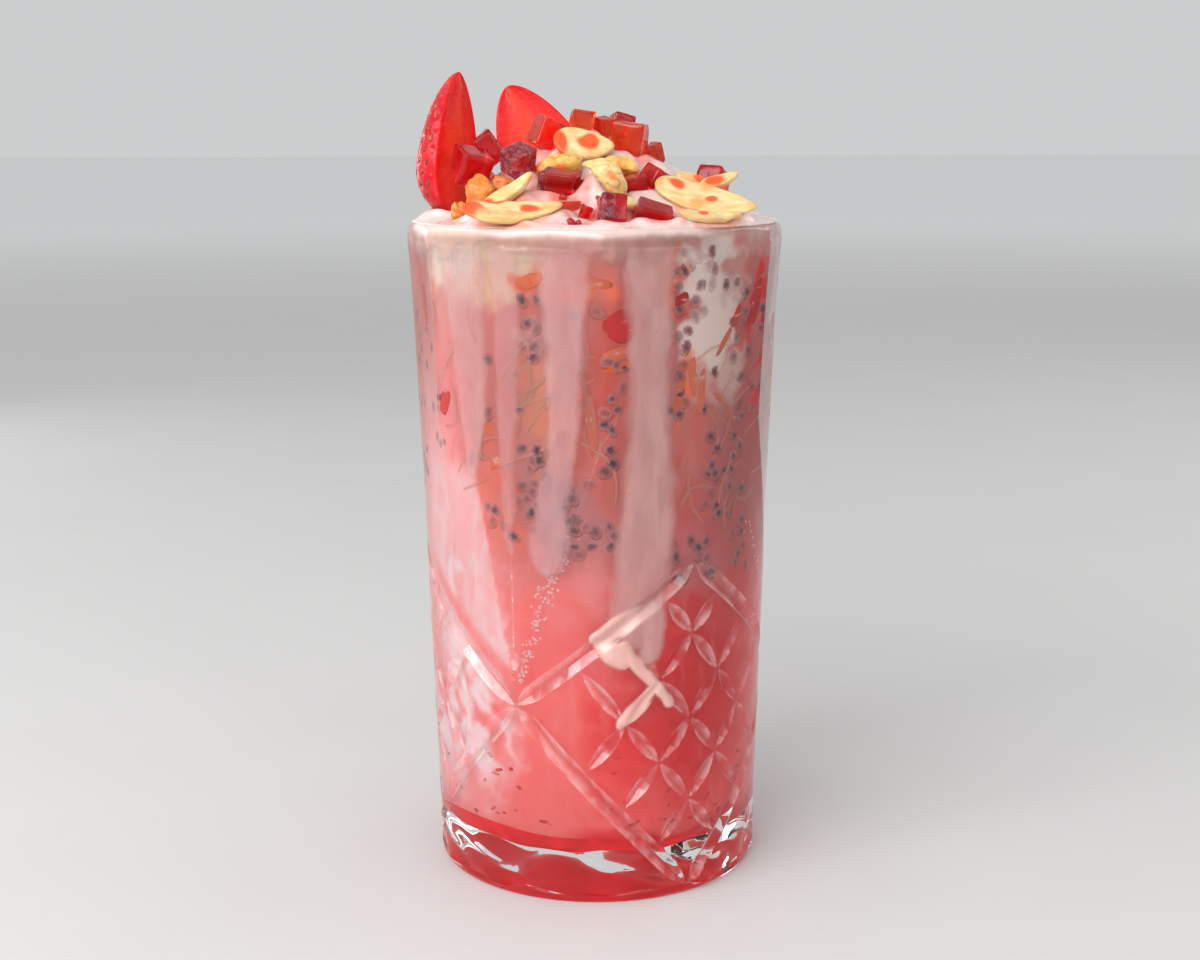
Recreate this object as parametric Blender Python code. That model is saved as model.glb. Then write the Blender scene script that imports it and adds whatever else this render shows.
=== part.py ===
"""A falooda in a tall cut glass: rose syrup, pink milk and a layer of vermicelli and seeds under
cream, with strawberry, jelly dice and nuts on top, and cream that has run down the glass.

Metres, +Z up. The origin is the middle of the glass's flat underside, and the front is -Y.
Sizes below are in millimetres and bearings in degrees, from the front (-Y) towards +X."""

import math

import bmesh
import bpy
import numpy as np
from mathutils import Euler, Matrix, Vector
from mathutils.bvhtree import BVHTree
from mathutils.geometry import delaunay_2d_cdt

MM = 0.001

# The glass
glassHeight = 140.0
footRadius = 34.2
floorHeight = 9.0
boreAtFloor = 30.6
boreGrowth = 0.0475  # radius gained for each mm of height
boreCorner = 7.0
patternLow = 2.0  # where the turned heel ends and the cut wall starts
rimShoulder = 136.5  # where the cut wall ends and the rounded rim starts
columns = 60  # round the glass
heel = [(0.0, 0.0), (0.55, 0.45)]  # the foot's rounded edge: radius gained, and height
rimRings = [(0.75, 40.0, 138.5), (0.3, 39.3, 139.6)]  # share of the flutes left, radius, height
rimCrest = 38.4  # radius of the top of the rim
rimInside = (37.6, 139.6)
boreTop = 138.2
boreHeights = (110, 80, 50, 30)
cornerTurns = (90, 72, 54, 36, 18)  # degrees round the corner at the floor

# The cuts: flat flutes above, and below them a saltire with hatched lozenges, three times round
fanBearing = -27.5  # a crossing of the broad cuts, with the fan of petals above it
sector = 60.0  # from there to the middle of the next lozenge
crossingHeight = 42.5
lozengeTop = 72.5
hatchHeight = 39.5  # the middle of the hatch
hatchStepAcross = 11.5  # degrees
hatchStepUp = 9.05
petalFoot = 49.0
petalTop = 100.0
fluteWidth = 30.0
degreeLength = 0.64  # mm along the wall, near enough for widths of cuts
broadCut = {"half": 2.0, "slope": 0.62, "taper": 0.12}
fineCut = {"half": 1.6, "slope": 0.62, "taper": 0.5}
stopsAbove = (0.12, 0.24, 0.37, 0.49, 0.604, 0.72, 0.838, 0.92)
stopsBelow = (0.12, 0.26, 0.4, 0.505, 0.605, 0.71, 0.812, 0.9)
hatchStopsAbove = (0.37, 0.604, 0.838)
hatchStopsBelow = (0.4, 0.605, 0.812)

# What is in the glass
gap = 0.3  # between neighbours
layerGap = 0.45  # between two layers, whose wavy faces meet
syrupHeight = 12.8
milkHeight = 71.5
creamFoot = 133.6
fillColumns = 48  # round each layer
surfaceRings = (1, 0.7, 0.35)  # of a layer's top, as shares of its radius
creamEdgeHeight = 140.9
creamRise = 16.0
creamBell = 2.2  # how fast the mound falls away from its middle
creamReach = 38.9  # over the rim in front, a little less behind
creamNeck = 36.8  # radius where the mound meets the inside of the rim
creamLift = 0.35  # its underside above the rim
creamEdgeThick = 0.4
creamRings = (1, 0.965, 0.92, 0.86, 0.79, 0.72, 0.65, 0.58, 0.5, 0.42, 0.34, 0.26, 0.18, 0.09)
hollowReach = (1.0, 2.0, 3.0)  # how far round a topping the mound is hollowed
hollowGap = 0.45  # between the mound and a topping

# Cream on the outside: bearing and height down the middle, half width in mm
collarLow, collarHigh = 136.9, 139.4
collarFrom, collarTo = -76.0, 24.0
runs = {
    "drip_left": [(-43, 136.4, 5.0), (-43, 124, 4.6), (-42, 106, 3.6), (-43, 92, 1.4)],
    "drip_thin": [(-27.5, 136.4, 2.6), (-27, 122, 2.2), (-28, 100, 1.6), (-28, 76, 0.9)],
    "drip_middle": [
        (-9, 136.4, 4.6), (-9.5, 122, 3.8), (-9.8, 101, 2.6),
        (-13.5, 86, 2.8), (-15, 77, 4.2), (-15, 73, 2.2),
    ],
    "drip_main": [
        (16, 136.4, 5.6), (18, 122.5, 4.2), (16.3, 99, 5.8), (16, 78, 6.6),
        (15.5, 66, 6.4), (11.5, 58.5, 6.0), (12.5, 54, 3.2),
    ],
    "drip_tail_right": [(16.5, 51.2, 1.2), (20, 47.6, 1.4), (26, 43.4, 0.8)],
    "drip_tail_left": [(16.2, 46.2, 0.7), (12, 43, 1.3), (7, 39.8, 0.7)],
}
runThickness = 1.1
collarThickness = 0.9
thinEdge = 0.35  # share of a slab's thickness at its edges
runRows = 3  # between two stops


def unfold(bearing):
    """Degrees from the nearest crossing: the pattern repeats and mirrors every 60 degrees."""
    turned = np.mod(np.asarray(bearing, float) - fanBearing, 2 * sector)
    return np.minimum(turned, 2 * sector - turned)


def wall_radius(z):
    """The turned outside: a slow taper, opening a little faster towards the rim."""
    z = np.asarray(z, float)
    upper = 0.8 * np.clip((z - 60) / 80, 0, None) ** 2
    return 35.0 + 0.0305 * z + upper + 0.5 * np.clip((z - 120) / 20, 0, None) ** 2


def bore_radius(z):
    """The inside: a straight taper with a round corner at the floor."""
    z = np.asarray(z, float)
    short = np.clip((floorHeight + boreCorner - z) / boreCorner, 0, 1)
    return boreAtFloor + boreGrowth * z - boreCorner * (1 - np.sqrt(1 - short**2))


def fill_radius(z):
    """The outside of what fills the bore: the same shape, a gap smaller."""
    z = np.asarray(z, float)
    short = np.clip(floorHeight + boreCorner - z, 0, boreCorner - gap)
    return boreAtFloor + boreGrowth * z - boreCorner + np.sqrt((boreCorner - gap) ** 2 - short**2)


def broad_line(share, low):
    """A point on the upper or the lower broad cut of the half pattern."""
    end = patternLow if low else lozengeTop
    return (share * sector, crossingHeight + share * (end - crossingHeight))


def cut_width(share, cut):
    """Half width of a lens-shaped cut: full in the middle, pointed at both ends."""
    near = np.clip(np.minimum(share, 1 - share) / cut["taper"], 0, 1)
    return cut["half"] * (1 - (1 - near) ** 2)


def shoulder(share, low, side):
    """A point on the edge of a broad cut, straight above or below its middle."""
    x, z = broad_line(share, low)
    foot, end = broad_line(0, low), broad_line(1, low)
    rise = (end[1] - foot[1]) / (sector * degreeLength)
    return (x, z + side * float(cut_width(share, broadCut)) * math.hypot(1, rise))


def node(across, up):
    """A crossing of the hatch, counted in steps from the middle of the lozenge."""
    return (sector - across * hatchStepAcross, hatchHeight + up * hatchStepUp)


def fine_cuts():
    """The hatch of the half lozenge, as lens-shaped cuts from crossing to crossing."""
    above = [shoulder(s, False, -1) for s in hatchStopsAbove]
    below = [shoulder(s, True, 1) for s in hatchStopsBelow]
    return [
        (below[0], node(2, 0)), (node(2, 0), node(1, 1)), (node(1, 1), node(0, 2)),
        (below[1], node(1, -1)), (node(1, -1), node(0, 0)),
        (below[2], node(0, -2)),
        (above[0], node(2, 0)), (node(2, 0), node(1, -1)), (node(1, -1), node(0, -2)),
        (above[1], node(1, 1)), (node(1, 1), node(0, 0)),
        (above[2], node(0, 2)),
    ]


def lens_depth(x, z, start, end, cut):
    """Depth of one V-shaped cut along a straight line on the unrolled wall."""
    ax, az = start[0] * degreeLength, start[1]
    dx, dz = end[0] * degreeLength - ax, end[1] - az
    length = math.hypot(dx, dz)
    px, pz = x * degreeLength - ax, z - az
    share = (px * dx + pz * dz) / length**2
    off = np.abs(px * dz - pz * dx) / length
    inside = (share > 0) & (share < 1)
    return np.where(inside, cut["slope"] * np.clip(cut_width(share, cut) - off, 0, None), 0)


def petal_edge(z):
    """Where the petal beside the fan's axis ends: at a point below, at the flute's edge above."""
    return fluteWidth * np.clip((z - petalFoot) / (petalTop - petalFoot), 0, 1) ** 0.78


def cut_depth(bearing, z):
    """How far the cut wall lies inside the turned outside."""
    x, z = unfold(bearing), np.asarray(z, float)
    edge = petal_edge(z)
    petal = x < edge
    half = np.where(petal, edge / 2, (sector - edge) / 2)
    middle = np.where(petal, edge / 2, (sector + edge) / 2)
    bulge = 1 - np.clip(np.abs(x - middle) / np.maximum(half, 1e-6), 0, 1) ** 2
    fade = np.clip((z - lozengeTop) / (petalTop - lozengeTop), 0, 1)
    hollow = 1 - math.cos(math.radians(fluteWidth / 2))
    flat = np.where(petal, 1 - np.cos(np.radians(half)), fade * hollow)
    depth = wall_radius(z) * flat * bulge
    for low in (False, True):
        depth = np.maximum(depth, lens_depth(x, z, broad_line(0, low), broad_line(1, low), broadCut))
    for start, end in fine_cuts():
        depth = np.maximum(depth, lens_depth(x, z, start, end, fineCut))
    return depth


def glass_radius(bearing, z):
    return wall_radius(z) - cut_depth(bearing, z)


def spot(bearing, radius, z):
    """The point at a bearing, radius and height, in mm."""
    turn = np.radians(bearing)
    return (float(radius * np.sin(turn)), float(-radius * np.cos(turn)), float(z))


def pattern_net():
    """Points and triangles of the half pattern on the unrolled wall: the cuts' lines are edges."""
    points, edges = [], []

    def place(x, z):
        for i, p in enumerate(points):
            if abs(p[0] - x) < 0.05 and abs(p[1] - z) < 0.05:
                return i
        points.append((x, z))
        return len(points) - 1

    def line(stops):
        ids = [place(*stop) for stop in stops]
        edges.extend((a, b) for a, b in zip(ids, ids[1:]) if a != b)

    across = [float(x) for x in np.linspace(0, sector, columns // 6 + 1)]
    tall = [petalTop, 112.0, 124.0, rimShoulder]
    line([(x, patternLow) for x in across])
    line([(x, rimShoulder) for x in across])
    line([(0, z) for z in (patternLow, 12, 22, 32, crossingHeight, petalFoot, 58, 70, 85, *tall)])
    middle = [patternLow, 11.5, node(0, -2)[1], 30.5, hatchHeight, 48.5, node(0, 2)[1], 65, lozengeTop]
    line([(sector, z) for z in (*middle, 81, 90, *tall)])
    line([(fluteWidth, z) for z in tall])
    line([(float(petal_edge(z)), z) for z in (petalFoot, 54, 61, 69, 79, 90, petalTop)])
    for low, stops in ((False, stopsAbove), (True, stopsBelow)):
        ends = broad_line(0, low), broad_line(1, low)
        line([ends[0], *(broad_line(s, low) for s in stops), ends[1]])
        for side in (-1, 1):
            line([ends[0], *(shoulder(s, low, side) for s in stops), ends[1]])
    for start, end in fine_cuts():
        dx, dz = (end[0] - start[0]) * degreeLength, end[1] - start[1]
        length = math.hypot(dx, dz)
        for side in (-1, 0, 1):
            stops = [start]
            for share in (0.3, 0.7):
                off = side * float(cut_width(share, fineCut)) / length
                x = start[0] + share * (end[0] - start[0]) - off * dz / degreeLength
                stops.append((x, start[1] + share * dz + off * dx))
            line([*stops, end])
    for row, z in enumerate(np.arange(8, 100, 7.5)):
        for x in np.arange(6 + 4 * (row % 2), sector - 3, 8):
            near = min(math.hypot((x - p[0]) * degreeLength, z - p[1]) for p in points)
            if near > 3.4:
                points.append((float(x), float(z)))
    flat = [Vector((x * degreeLength, z)) for x, z in points]
    verts, _, faces, *_ = delaunay_2d_cdt(flat, edges, [], 0, 0.0005)
    return [(v.x / degreeLength, v.y) for v in verts], [tuple(face) for face in faces]


def ring(radius, z, count=columns):
    """A level ring of points, starting at the fan's bearing."""
    bearings = fanBearing + 360 / count * np.arange(count)
    radii = radius(bearings) if callable(radius) else np.full(count, radius)
    heights = z(bearings) if callable(z) else np.full(count, z)
    return [spot(b, r, h) for b, r, h in zip(bearings, radii, heights)]


def skin(bm, rings, low_cap=True, high_cap=True):
    """Joins rings into a surface, with a fan of triangles over each capped end."""
    rows = [[bm.verts.new(Vector(p) * MM) for p in r] for r in rings]
    count = len(rows[0])
    for low, high in zip(rows, rows[1:]):
        for i in range(count):
            j = (i + 1) % count
            bm.faces.new((low[i], low[j], high[j], high[i]))
    for row, wanted in ((rows[0], low_cap), (rows[-1], high_cap)):
        if wanted:
            middle = bm.verts.new(sum((v.co for v in row), Vector()) / count)
            for i in range(count):
                bm.faces.new((row[i], row[(i + 1) % count], middle))


def solid(name, bm, material, smooth=35.0):
    """Closes a mesh into a named object with its faces pointing out."""
    bmesh.ops.remove_doubles(bm, verts=bm.verts, dist=2e-6)
    bmesh.ops.triangulate(bm, faces=[f for f in bm.faces if len(f.verts) > 3])
    bmesh.ops.recalc_face_normals(bm, faces=bm.faces)
    mesh = bpy.data.meshes.new(name)
    bm.to_mesh(mesh)
    bm.free()
    mesh.shade_smooth()
    mesh.set_sharp_from_angle(angle=math.radians(smooth))
    mesh.materials.append(material)
    thing = bpy.data.objects.new(name, mesh)
    bpy.context.scene.collection.objects.link(thing)
    return thing


def paint(name, colour, roughness, clear=0.0):
    material = bpy.data.materials.new(name)
    material.use_nodes = True
    shader = material.node_tree.nodes["Principled BSDF"]
    shader.inputs["Base Color"].default_value = (*colour, 1)
    shader.inputs["Roughness"].default_value = roughness
    shader.inputs["Metallic"].default_value = 0
    shader.inputs["Transmission Weight"].default_value = clear
    return material


def make_glass(material):
    bm = bmesh.new()
    points, faces = pattern_net()
    for copy in range(6):
        sign = 1 if copy % 2 == 0 else -1
        axis = fanBearing + 2 * sector * ((copy + 1) // 2)
        made = []
        for x, z in points:
            bearing = axis + sign * x
            made.append(bm.verts.new(Vector(spot(bearing, glass_radius(bearing, z), z)) * MM))
        for face in faces:
            bm.faces.new([made[i] for i in face])
    foot = [ring(footRadius + out, z) for out, z in heel]
    skin(bm, [*foot, ring(wall_radius(patternLow), patternLow)], True, False)

    def fluted(share, radius):
        return lambda b: radius - share * cut_depth(b, rimShoulder)

    rim = [ring(fluted(1, wall_radius(rimShoulder)), rimShoulder)]
    rim += [ring(fluted(share, radius), z) for share, radius, z in rimRings]
    rim += [ring(rimCrest, glassHeight), ring(*rimInside)]
    corner = [floorHeight + boreCorner * (1 - math.cos(math.radians(turn))) for turn in cornerTurns]
    bore = [ring(bore_radius(z), z) for z in (boreTop, *boreHeights, *corner, floorHeight)]
    skin(bm, [*rim, *bore], False, True)
    return solid("glass", bm, material, 12)


def syrup_surface(bearing, share):
    """Height of the syrup: it stands a little higher at the left, with slow waves at the wall."""
    turn = np.radians(bearing)
    wave = 0.9 * np.sin(turn * 2 + 2.2) - 1.1 * np.sin(turn) + 0.5 * np.sin(turn * 5)
    return syrupHeight + share * wave


def milk_surface(bearing, share):
    """Height of the pink milk, uneven where the seeds sink into it."""
    turn = np.radians(bearing)
    return milkHeight + share * (1.2 * np.sin(turn * 3 + 0.4) + 0.7 * np.sin(turn * 7 + 1))


def filling_ring(surface, share, lift=0.0):
    """A ring on a layer's surface, at a share of the way from the axis to the wall."""

    def height(b):
        return surface(b, share**2) + lift

    return ring(lambda b: share * fill_radius(height(b)), height, fillColumns)


def side_ring(z):
    """A level ring where a layer meets the bore."""
    return ring(fill_radius(z), z, fillColumns)


def make_syrup(material):
    bm = bmesh.new()
    low = [side_ring(floorHeight + gap + rise) for rise in (0, 0.4, 1.2)]
    top = [filling_ring(syrup_surface, s) for s in surfaceRings]
    skin(bm, [*low, *top])
    return solid("syrup", bm, material)


def make_milk(material):
    bm = bmesh.new()
    low = [filling_ring(syrup_surface, s, layerGap) for s in surfaceRings[::-1]]
    side = [side_ring(z) for z in (17, 40)]
    top = [filling_ring(milk_surface, s) for s in surfaceRings]
    skin(bm, [*low, *side, *top])
    return solid("rose_milk", bm, material)


def make_falooda(material):
    bm = bmesh.new()
    low = [filling_ring(milk_surface, s, layerGap) for s in surfaceRings[::-1]]
    top = creamFoot - gap
    inner = ring(fill_radius(top) / 2, top, fillColumns)
    skin(bm, [*low, side_ring(100), side_ring(top), inner])
    return solid("falooda", bm, material)


def cream_top(bearing, radius):
    """The mound: a dome over the rim, with soft lumps that fade out at its edge."""
    turn = np.radians(bearing)
    share = np.clip(radius / 38.5, 0, 1)
    x, y = radius * np.sin(turn), -radius * np.cos(turn)
    lumps = np.sin(x * 0.31 + 1) * np.cos(y * 0.27) + 0.6 * np.sin(x * 0.5 - y * 0.42)
    return creamEdgeHeight + creamRise * (1 - share**2) ** creamBell + 0.8 * lumps * (1 - share**3)


def cream_edge(bearing):
    """How far the cream lies over the rim: furthest in front and at the left."""
    lean = np.cos(np.radians(np.asarray(bearing, float) + 25))
    return creamReach - 0.35 * (1 - lean) / 2 - 0.15 * np.sin(np.radians(bearing) * 9)


def make_cream(material, toppings):
    """The mound, hollowed under each topping, with its edge on the rim and its foot in the bore."""
    trees = []
    for thing in toppings:
        bm = bmesh.new()
        bm.from_mesh(thing.data)
        bm.transform(thing.matrix_basis)
        trees.append(BVHTree.FromBMesh(bm))
        bm.free()
    probes = [(0, 0)]
    for reach in hollowReach:
        probes += [(reach * math.cos(a), reach * math.sin(a)) for a in np.arange(8) * math.pi / 4]

    def lowest(x, y):
        """The lowest underside of any topping over this place."""
        found = []
        for dx, dy in probes:
            foot = Vector((x + dx, y + dy, creamFoot)) * MM
            for tree in trees:
                hit = tree.ray_cast(foot, Vector((0, 0, 1)))[0]
                if hit is not None:
                    found.append(hit.z / MM)
        return min(found, default=1e3)

    rings = []
    lipHeight = glassHeight + creamLift
    for share in creamRings:
        row = []
        for b in fanBearing + 360 / columns * np.arange(columns):
            radius = share * float(cream_edge(b))
            x, y, _ = spot(b, radius, 0)
            z = min(float(cream_top(b, radius)), lowest(x, y) - hollowGap)
            floor = lipHeight + creamEdgeThick if radius > creamNeck - 0.8 else creamFoot + 3
            row.append(spot(b, radius, max(z, floor)))
        rings.append(row)
    bm = bmesh.new()
    foot = fill_radius(creamFoot)
    under = [ring(share * foot, creamFoot) for share in (0.5, 1)]
    lip = [ring(creamNeck, lipHeight), ring(cream_edge, lipHeight)]
    skin(bm, [*under, *lip, *rings])
    return solid("cream", bm, material)


def run_slab(name, stops, material, thickness, across=(-1, -0.75, 0, 0.75, 1)):
    """Cream on the wall: a thin slab that follows the cut glass along a line of stops."""
    path = []
    for (b0, z0, w0), (b1, z1, w1) in zip(stops, stops[1:]):
        for t in np.arange(runRows) / runRows:
            path.append((b0 + t * (b1 - b0), z0 + t * (z1 - z0), w0 + t * (w1 - w0)))
    path.append(stops[-1])
    bm = bmesh.new()
    sheets = []
    for outer in (False, True):
        grid = []
        for b, z, w in path:
            row = []
            for side in across:
                here = b + side * w / degreeLength
                lift = gap
                if outer:
                    lift += thickness * (thinEdge if abs(side) == 1 else 1)
                place = Vector(spot(here, surround(here, z) + lift, z)) * MM
                row.append(bm.verts.new(place))
            grid.append(row)
        sheets.append(grid)
    inner, outside = sheets
    last, wide = len(path) - 1, len(across) - 1
    for i in range(last):
        for j in range(wide):
            bm.faces.new((inner[i][j], inner[i][j + 1], inner[i + 1][j + 1], inner[i + 1][j]))
            top = (outside[i][j], outside[i + 1][j], outside[i + 1][j + 1], outside[i][j + 1])
            bm.faces.new(top)
        for j in (0, wide):
            bm.faces.new((inner[i][j], inner[i + 1][j], outside[i + 1][j], outside[i][j]))
    for j in range(wide):
        for i in (0, last):
            bm.faces.new((inner[i][j], inner[i][j + 1], outside[i][j + 1], outside[i][j]))
    return solid(name, bm, material, 50)


def surround(bearing, z):
    """The radius that clears the cut glass near a place, so that flat faces don't touch it."""
    near = [glass_radius(bearing + d, z + h) for d in (-3, 0, 3) for h in (-1.5, 0, 1.5)]
    return float(max(near))


def make_collar(material):
    """Cream smeared over the front of the rim."""
    across = [i / 8 for i in range(-8, 9)]
    middle = (collarFrom + collarTo) / 2
    half = (collarTo - collarFrom) / 2 * degreeLength
    stops = [(middle, collarHigh, half * 0.96), (middle, collarLow, half)]
    return run_slab("cream_collar", stops, material, collarThickness, across)


def make_cream_runs(material):
    made = [make_collar(material)]
    for name, stops in runs.items():
        made.append(run_slab(name, stops, material, runThickness))
    return made


def turned(bm, centre, turn):
    """Turns a mesh built round the origin and puts it in its place."""
    bm.transform(Euler([math.radians(a) for a in turn]).to_matrix().to_4x4())
    bm.transform(Matrix.Translation(Vector(centre) * MM))


def make_die(name, centre, size, turn, material, seed):
    """A jelly die, knife-cut: a box whose corners are a little off square, with worn edges."""
    rng = np.random.default_rng(seed)
    bm = bmesh.new()
    bmesh.ops.create_cube(bm, size=1)
    for v in bm.verts:
        off = rng.uniform(-0.09, 0.09, 3)
        v.co = Vector([(v.co[i] + off[i]) * size[i] * MM for i in range(3)])
    bmesh.ops.bevel(bm, geom=bm.edges[:], offset=0.09 * min(size) * MM, segments=1, affect="EDGES")
    turned(bm, centre, turn)
    return solid(name, bm, material)


def make_flake(name, centre, size, turn, material, seed):
    """An almond slice: a thin oval with a pointed end, slightly dished."""
    rng = np.random.default_rng(seed)
    length, width, thick = size
    bm = bmesh.new()
    count = 14
    rings = []
    for share, height in ((0.55, -1), (1, -0.45), (1, 0.45), (0.55, 1)):
        row = []
        for i in range(count):
            a = 2 * math.pi * i / count
            x = math.cos(a)
            y = math.sin(a) * (1 - 0.28 * x) * (1 + 0.04 * math.sin(3 * a + seed))
            dish = 0.06 * length * (share * x) ** 2
            row.append((share * x * length / 2, share * y * width / 2, height * thick / 2 + dish))
        rings.append(row)
    skin(bm, rings)
    for v in bm.verts:
        v.co.z += rng.uniform(-0.06, 0.06) * thick * MM
    turned(bm, centre, turn)
    return solid(name, bm, material)


def make_chunk(name, centre, size, turn, material, seed, bend=0.0):
    """A broken nut: a lumpy piece, bent along its length if it is the curl of a walnut."""
    rng = np.random.default_rng(seed)
    bm = bmesh.new()
    bmesh.ops.create_icosphere(bm, subdivisions=1, radius=0.5)
    phase = rng.uniform(0, 6, 3)
    for v in bm.verts:
        x, y, z = v.co
        lump = 1 + 0.16 * math.sin(7 * x + phase[0]) * math.cos(6 * y + phase[1])
        lump += 0.1 * math.sin(9 * z + phase[2])
        x, y, z = (lump * c * s for c, s in zip((x, y, z), size))
        if bend:
            a = x * bend
            x, z = math.sin(a) / bend, z + (math.cos(a) - 1) / bend
        v.co = Vector((x, y, z)) * MM
    turned(bm, centre, turn)
    return solid(name, bm, material)


def berry_profile(t):
    """Radius of a strawberry along its height, as a share of its widest, which is low down."""
    broad = 0.35
    if t < broad:
        return (1 - ((broad - t) / broad) ** 2.2) ** 0.6
    return (1 - ((t - broad) / (1 - broad)) ** 1.5) ** 0.6


def make_berry(name, centre, size, turn, material, depth):
    """A cut strawberry standing on its broad end: round skin behind, flat cut face in front."""
    height, width = size
    bm = bmesh.new()
    arc = [math.pi * k / 9 for k in range(10)]
    rows = []
    for t in (0.02, 0.09, 0.2, 0.35, 0.52, 0.68, 0.82, 0.92, 0.985):
        r = width / 2 * berry_profile(t)
        z = (t - 0.5) * height
        row = [(r * math.cos(a), depth * r * math.sin(a), z) for a in arc]
        row.append((0, 0, z))
        rows.append(row)
    skin(bm, rows)
    turned(bm, centre, turn)
    return solid(name, bm, material)


# Each topping: centre, size and turn about X, Y, Z
berries = [
    ("strawberry_half", (-28.7, -5.5, 155.8), (30.4, 17.2), (0, 4, 63), 1.0),
    ("strawberry_slice", (-12.9, 9, 156.4), (27, 18.4), (-6, -26, 4), 0.55),
]
dice = [
    ("jelly_01", (-25.3, -13.0, 151.7), (6.8, 6.6, 6.6), (18, 12, 24)),
    ("jelly_02", (-22.0, -5.0, 155.3), (4.2, 4.8, 6.8), (0, -38, 10)),
    ("jelly_03", (-15.8, -15.9, 153.0), (5.4, 5.2, 5.4), (24, -20, 40)),
    ("jelly_04", (-10.0, -4.5, 157.9), (6.5, 6.0, 6.8), (10, 28, 30)),
    ("jelly_05", (-2.9, 3.5, 161.1), (4.8, 4.8, 4.4), (0, 8, 12)),
    ("jelly_06", (2.0, 5.0, 159.8), (3.6, 4.0, 3.8), (12, -10, 40)),
    ("jelly_07", (5.7, 10.0, 159.8), (4.8, 4.8, 4.6), (-8, 14, 20)),
    ("jelly_08", (7.2, -1.8, 157.0), (7.4, 6.6, 7.6), (4, 8, -14)),
    ("jelly_09", (13.0, 4.5, 153.9), (2.2, 4.0, 4.4), (0, -22, 30)),
    ("jelly_10", (12.3, -11.0, 148.9), (5.2, 5.0, 5.0), (20, 30, 45)),
    ("jelly_11", (7.6, -16.4, 147.7), (4.4, 4.8, 4.4), (10, -12, 30)),
    ("jelly_12", (-7.2, -20.8, 148.9), (7.4, 4.6, 4.0), (16, 10, -12)),
    ("jelly_13", (-2.1, -17.6, 147.1), (2.8, 3.0, 3.2), (0, 20, 30)),
    ("jelly_14", (3.1, -32.2, 143.7), (5.2, 4.2, 5.6), (-20, 8, 12)),
    ("jelly_15", (11.1, -29.6, 142.7), (7.2, 4.4, 3.8), (24, 18, 16)),
    ("jelly_16", (-6.0, -26.2, 143.9), (5.6, 2.2, 2.1), (0, -8, 6)),
    ("jelly_17", (-1.8, -30.4, 143.0), (2.0, 2.2, 2.8), (10, 20, 20)),
    ("jelly_18", (-9.0, 20.5, 150.6), (6.6, 6.2, 6.0), (20, 10, 30)),
    ("jelly_19", (0.8, 26.4, 147.6), (6.8, 6.0, 6.0), (8, 24, 50)),
    ("jelly_20", (-25.0, 15.0, 146.6), (6.4, 6.8, 6.0), (14, -18, 15)),
    ("jelly_21", (25.0, 7.8, 147.4), (6.6, 6.0, 6.2), (10, 22, 70)),
]
flakes = [
    ("almond_01", (-16.3, -31.2, 143.2), (20.0, 8.8, 1.5), (22, -2, 9)),
    ("almond_02", (-17.6, -24.4, 146.4), (13.4, 4.2, 1.8), (30, -34, 18)),
    ("almond_03", (-2.4, -10.2, 156.0), (12.8, 8.0, 1.6), (48, 6, 8)),
    ("almond_04", (22.2, -19.9, 145.2), (21.4, 9.4, 1.5), (29, 14, -14)),
    ("almond_05", (22.6, -28.9, 142.0), (15.6, 3.7, 1.4), (24, 2, 34)),
    ("almond_06", (20.0, -7.2, 148.9), (7.0, 3.4, 1.5), (20, 10, -8)),
    ("almond_07", (25.6, -11.0, 148.5), (8.8, 3.2, 1.5), (40, -16, 16)),
    ("almond_08", (7.6, -26.0, 144.3), (4.6, 3.6, 1.5), (34, 20, 30)),
    ("almond_09", (-13.0, 29.4, 144.0), (19.0, 9.0, 1.5), (-26, 4, -20)),
    ("almond_10", (27.2, 19.6, 144.0), (17.0, 8.0, 1.5), (-20, 24, 50)),
]
chunks = [
    ("nut_01", (-23.3, -20.6, 146.7), (5.8, 5.2, 7.6), (10, 14, 20), 0.0),
    ("nut_02", (-18.5, -18.4, 148.0), (4.6, 3.6, 3.4), (0, 20, 30), 0.0),
    ("nut_03", (-27.5, -18.8, 142.8), (3.4, 3.2, 3.8), (10, 0, 40), 0.0),
    ("nut_04", (-7.1, -15.7, 151.5), (10.4, 4.8, 5.6), (10, -14, 12), 0.0),
    ("nut_05", (3.2, -24.4, 150.0), (12.0, 4.6, 4.4), (20, 50, -10), 0.14),
    ("nut_06", (4.8, -13.0, 151.9), (8.6, 3.6, 3.6), (10, 10, -6), 0.0),
    ("nut_07", (-24.5, 24.0, 143.8), (6.0, 5.0, 5.0), (0, 20, 40), 0.0),
    ("nut_08", (10.0, 31.0, 143.9), (7.0, 4.6, 4.4), (0, 10, 10), 0.1),
]


def make_toppings(colours):
    made = []
    for name, centre, size, turn, depth in berries:
        made.append(make_berry(name, centre, size, turn, colours["berry"], depth))
    for i, (name, centre, size, turn) in enumerate(dice):
        made.append(make_die(name, centre, size, turn, colours["jelly"], i + 1))
    for i, (name, centre, size, turn) in enumerate(flakes):
        made.append(make_flake(name, centre, size, turn, colours["almond"], i + 1))
    for i, (name, centre, size, turn, bend) in enumerate(chunks):
        made.append(make_chunk(name, centre, size, turn, colours["nut"], i + 1, bend))
    return made


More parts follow.
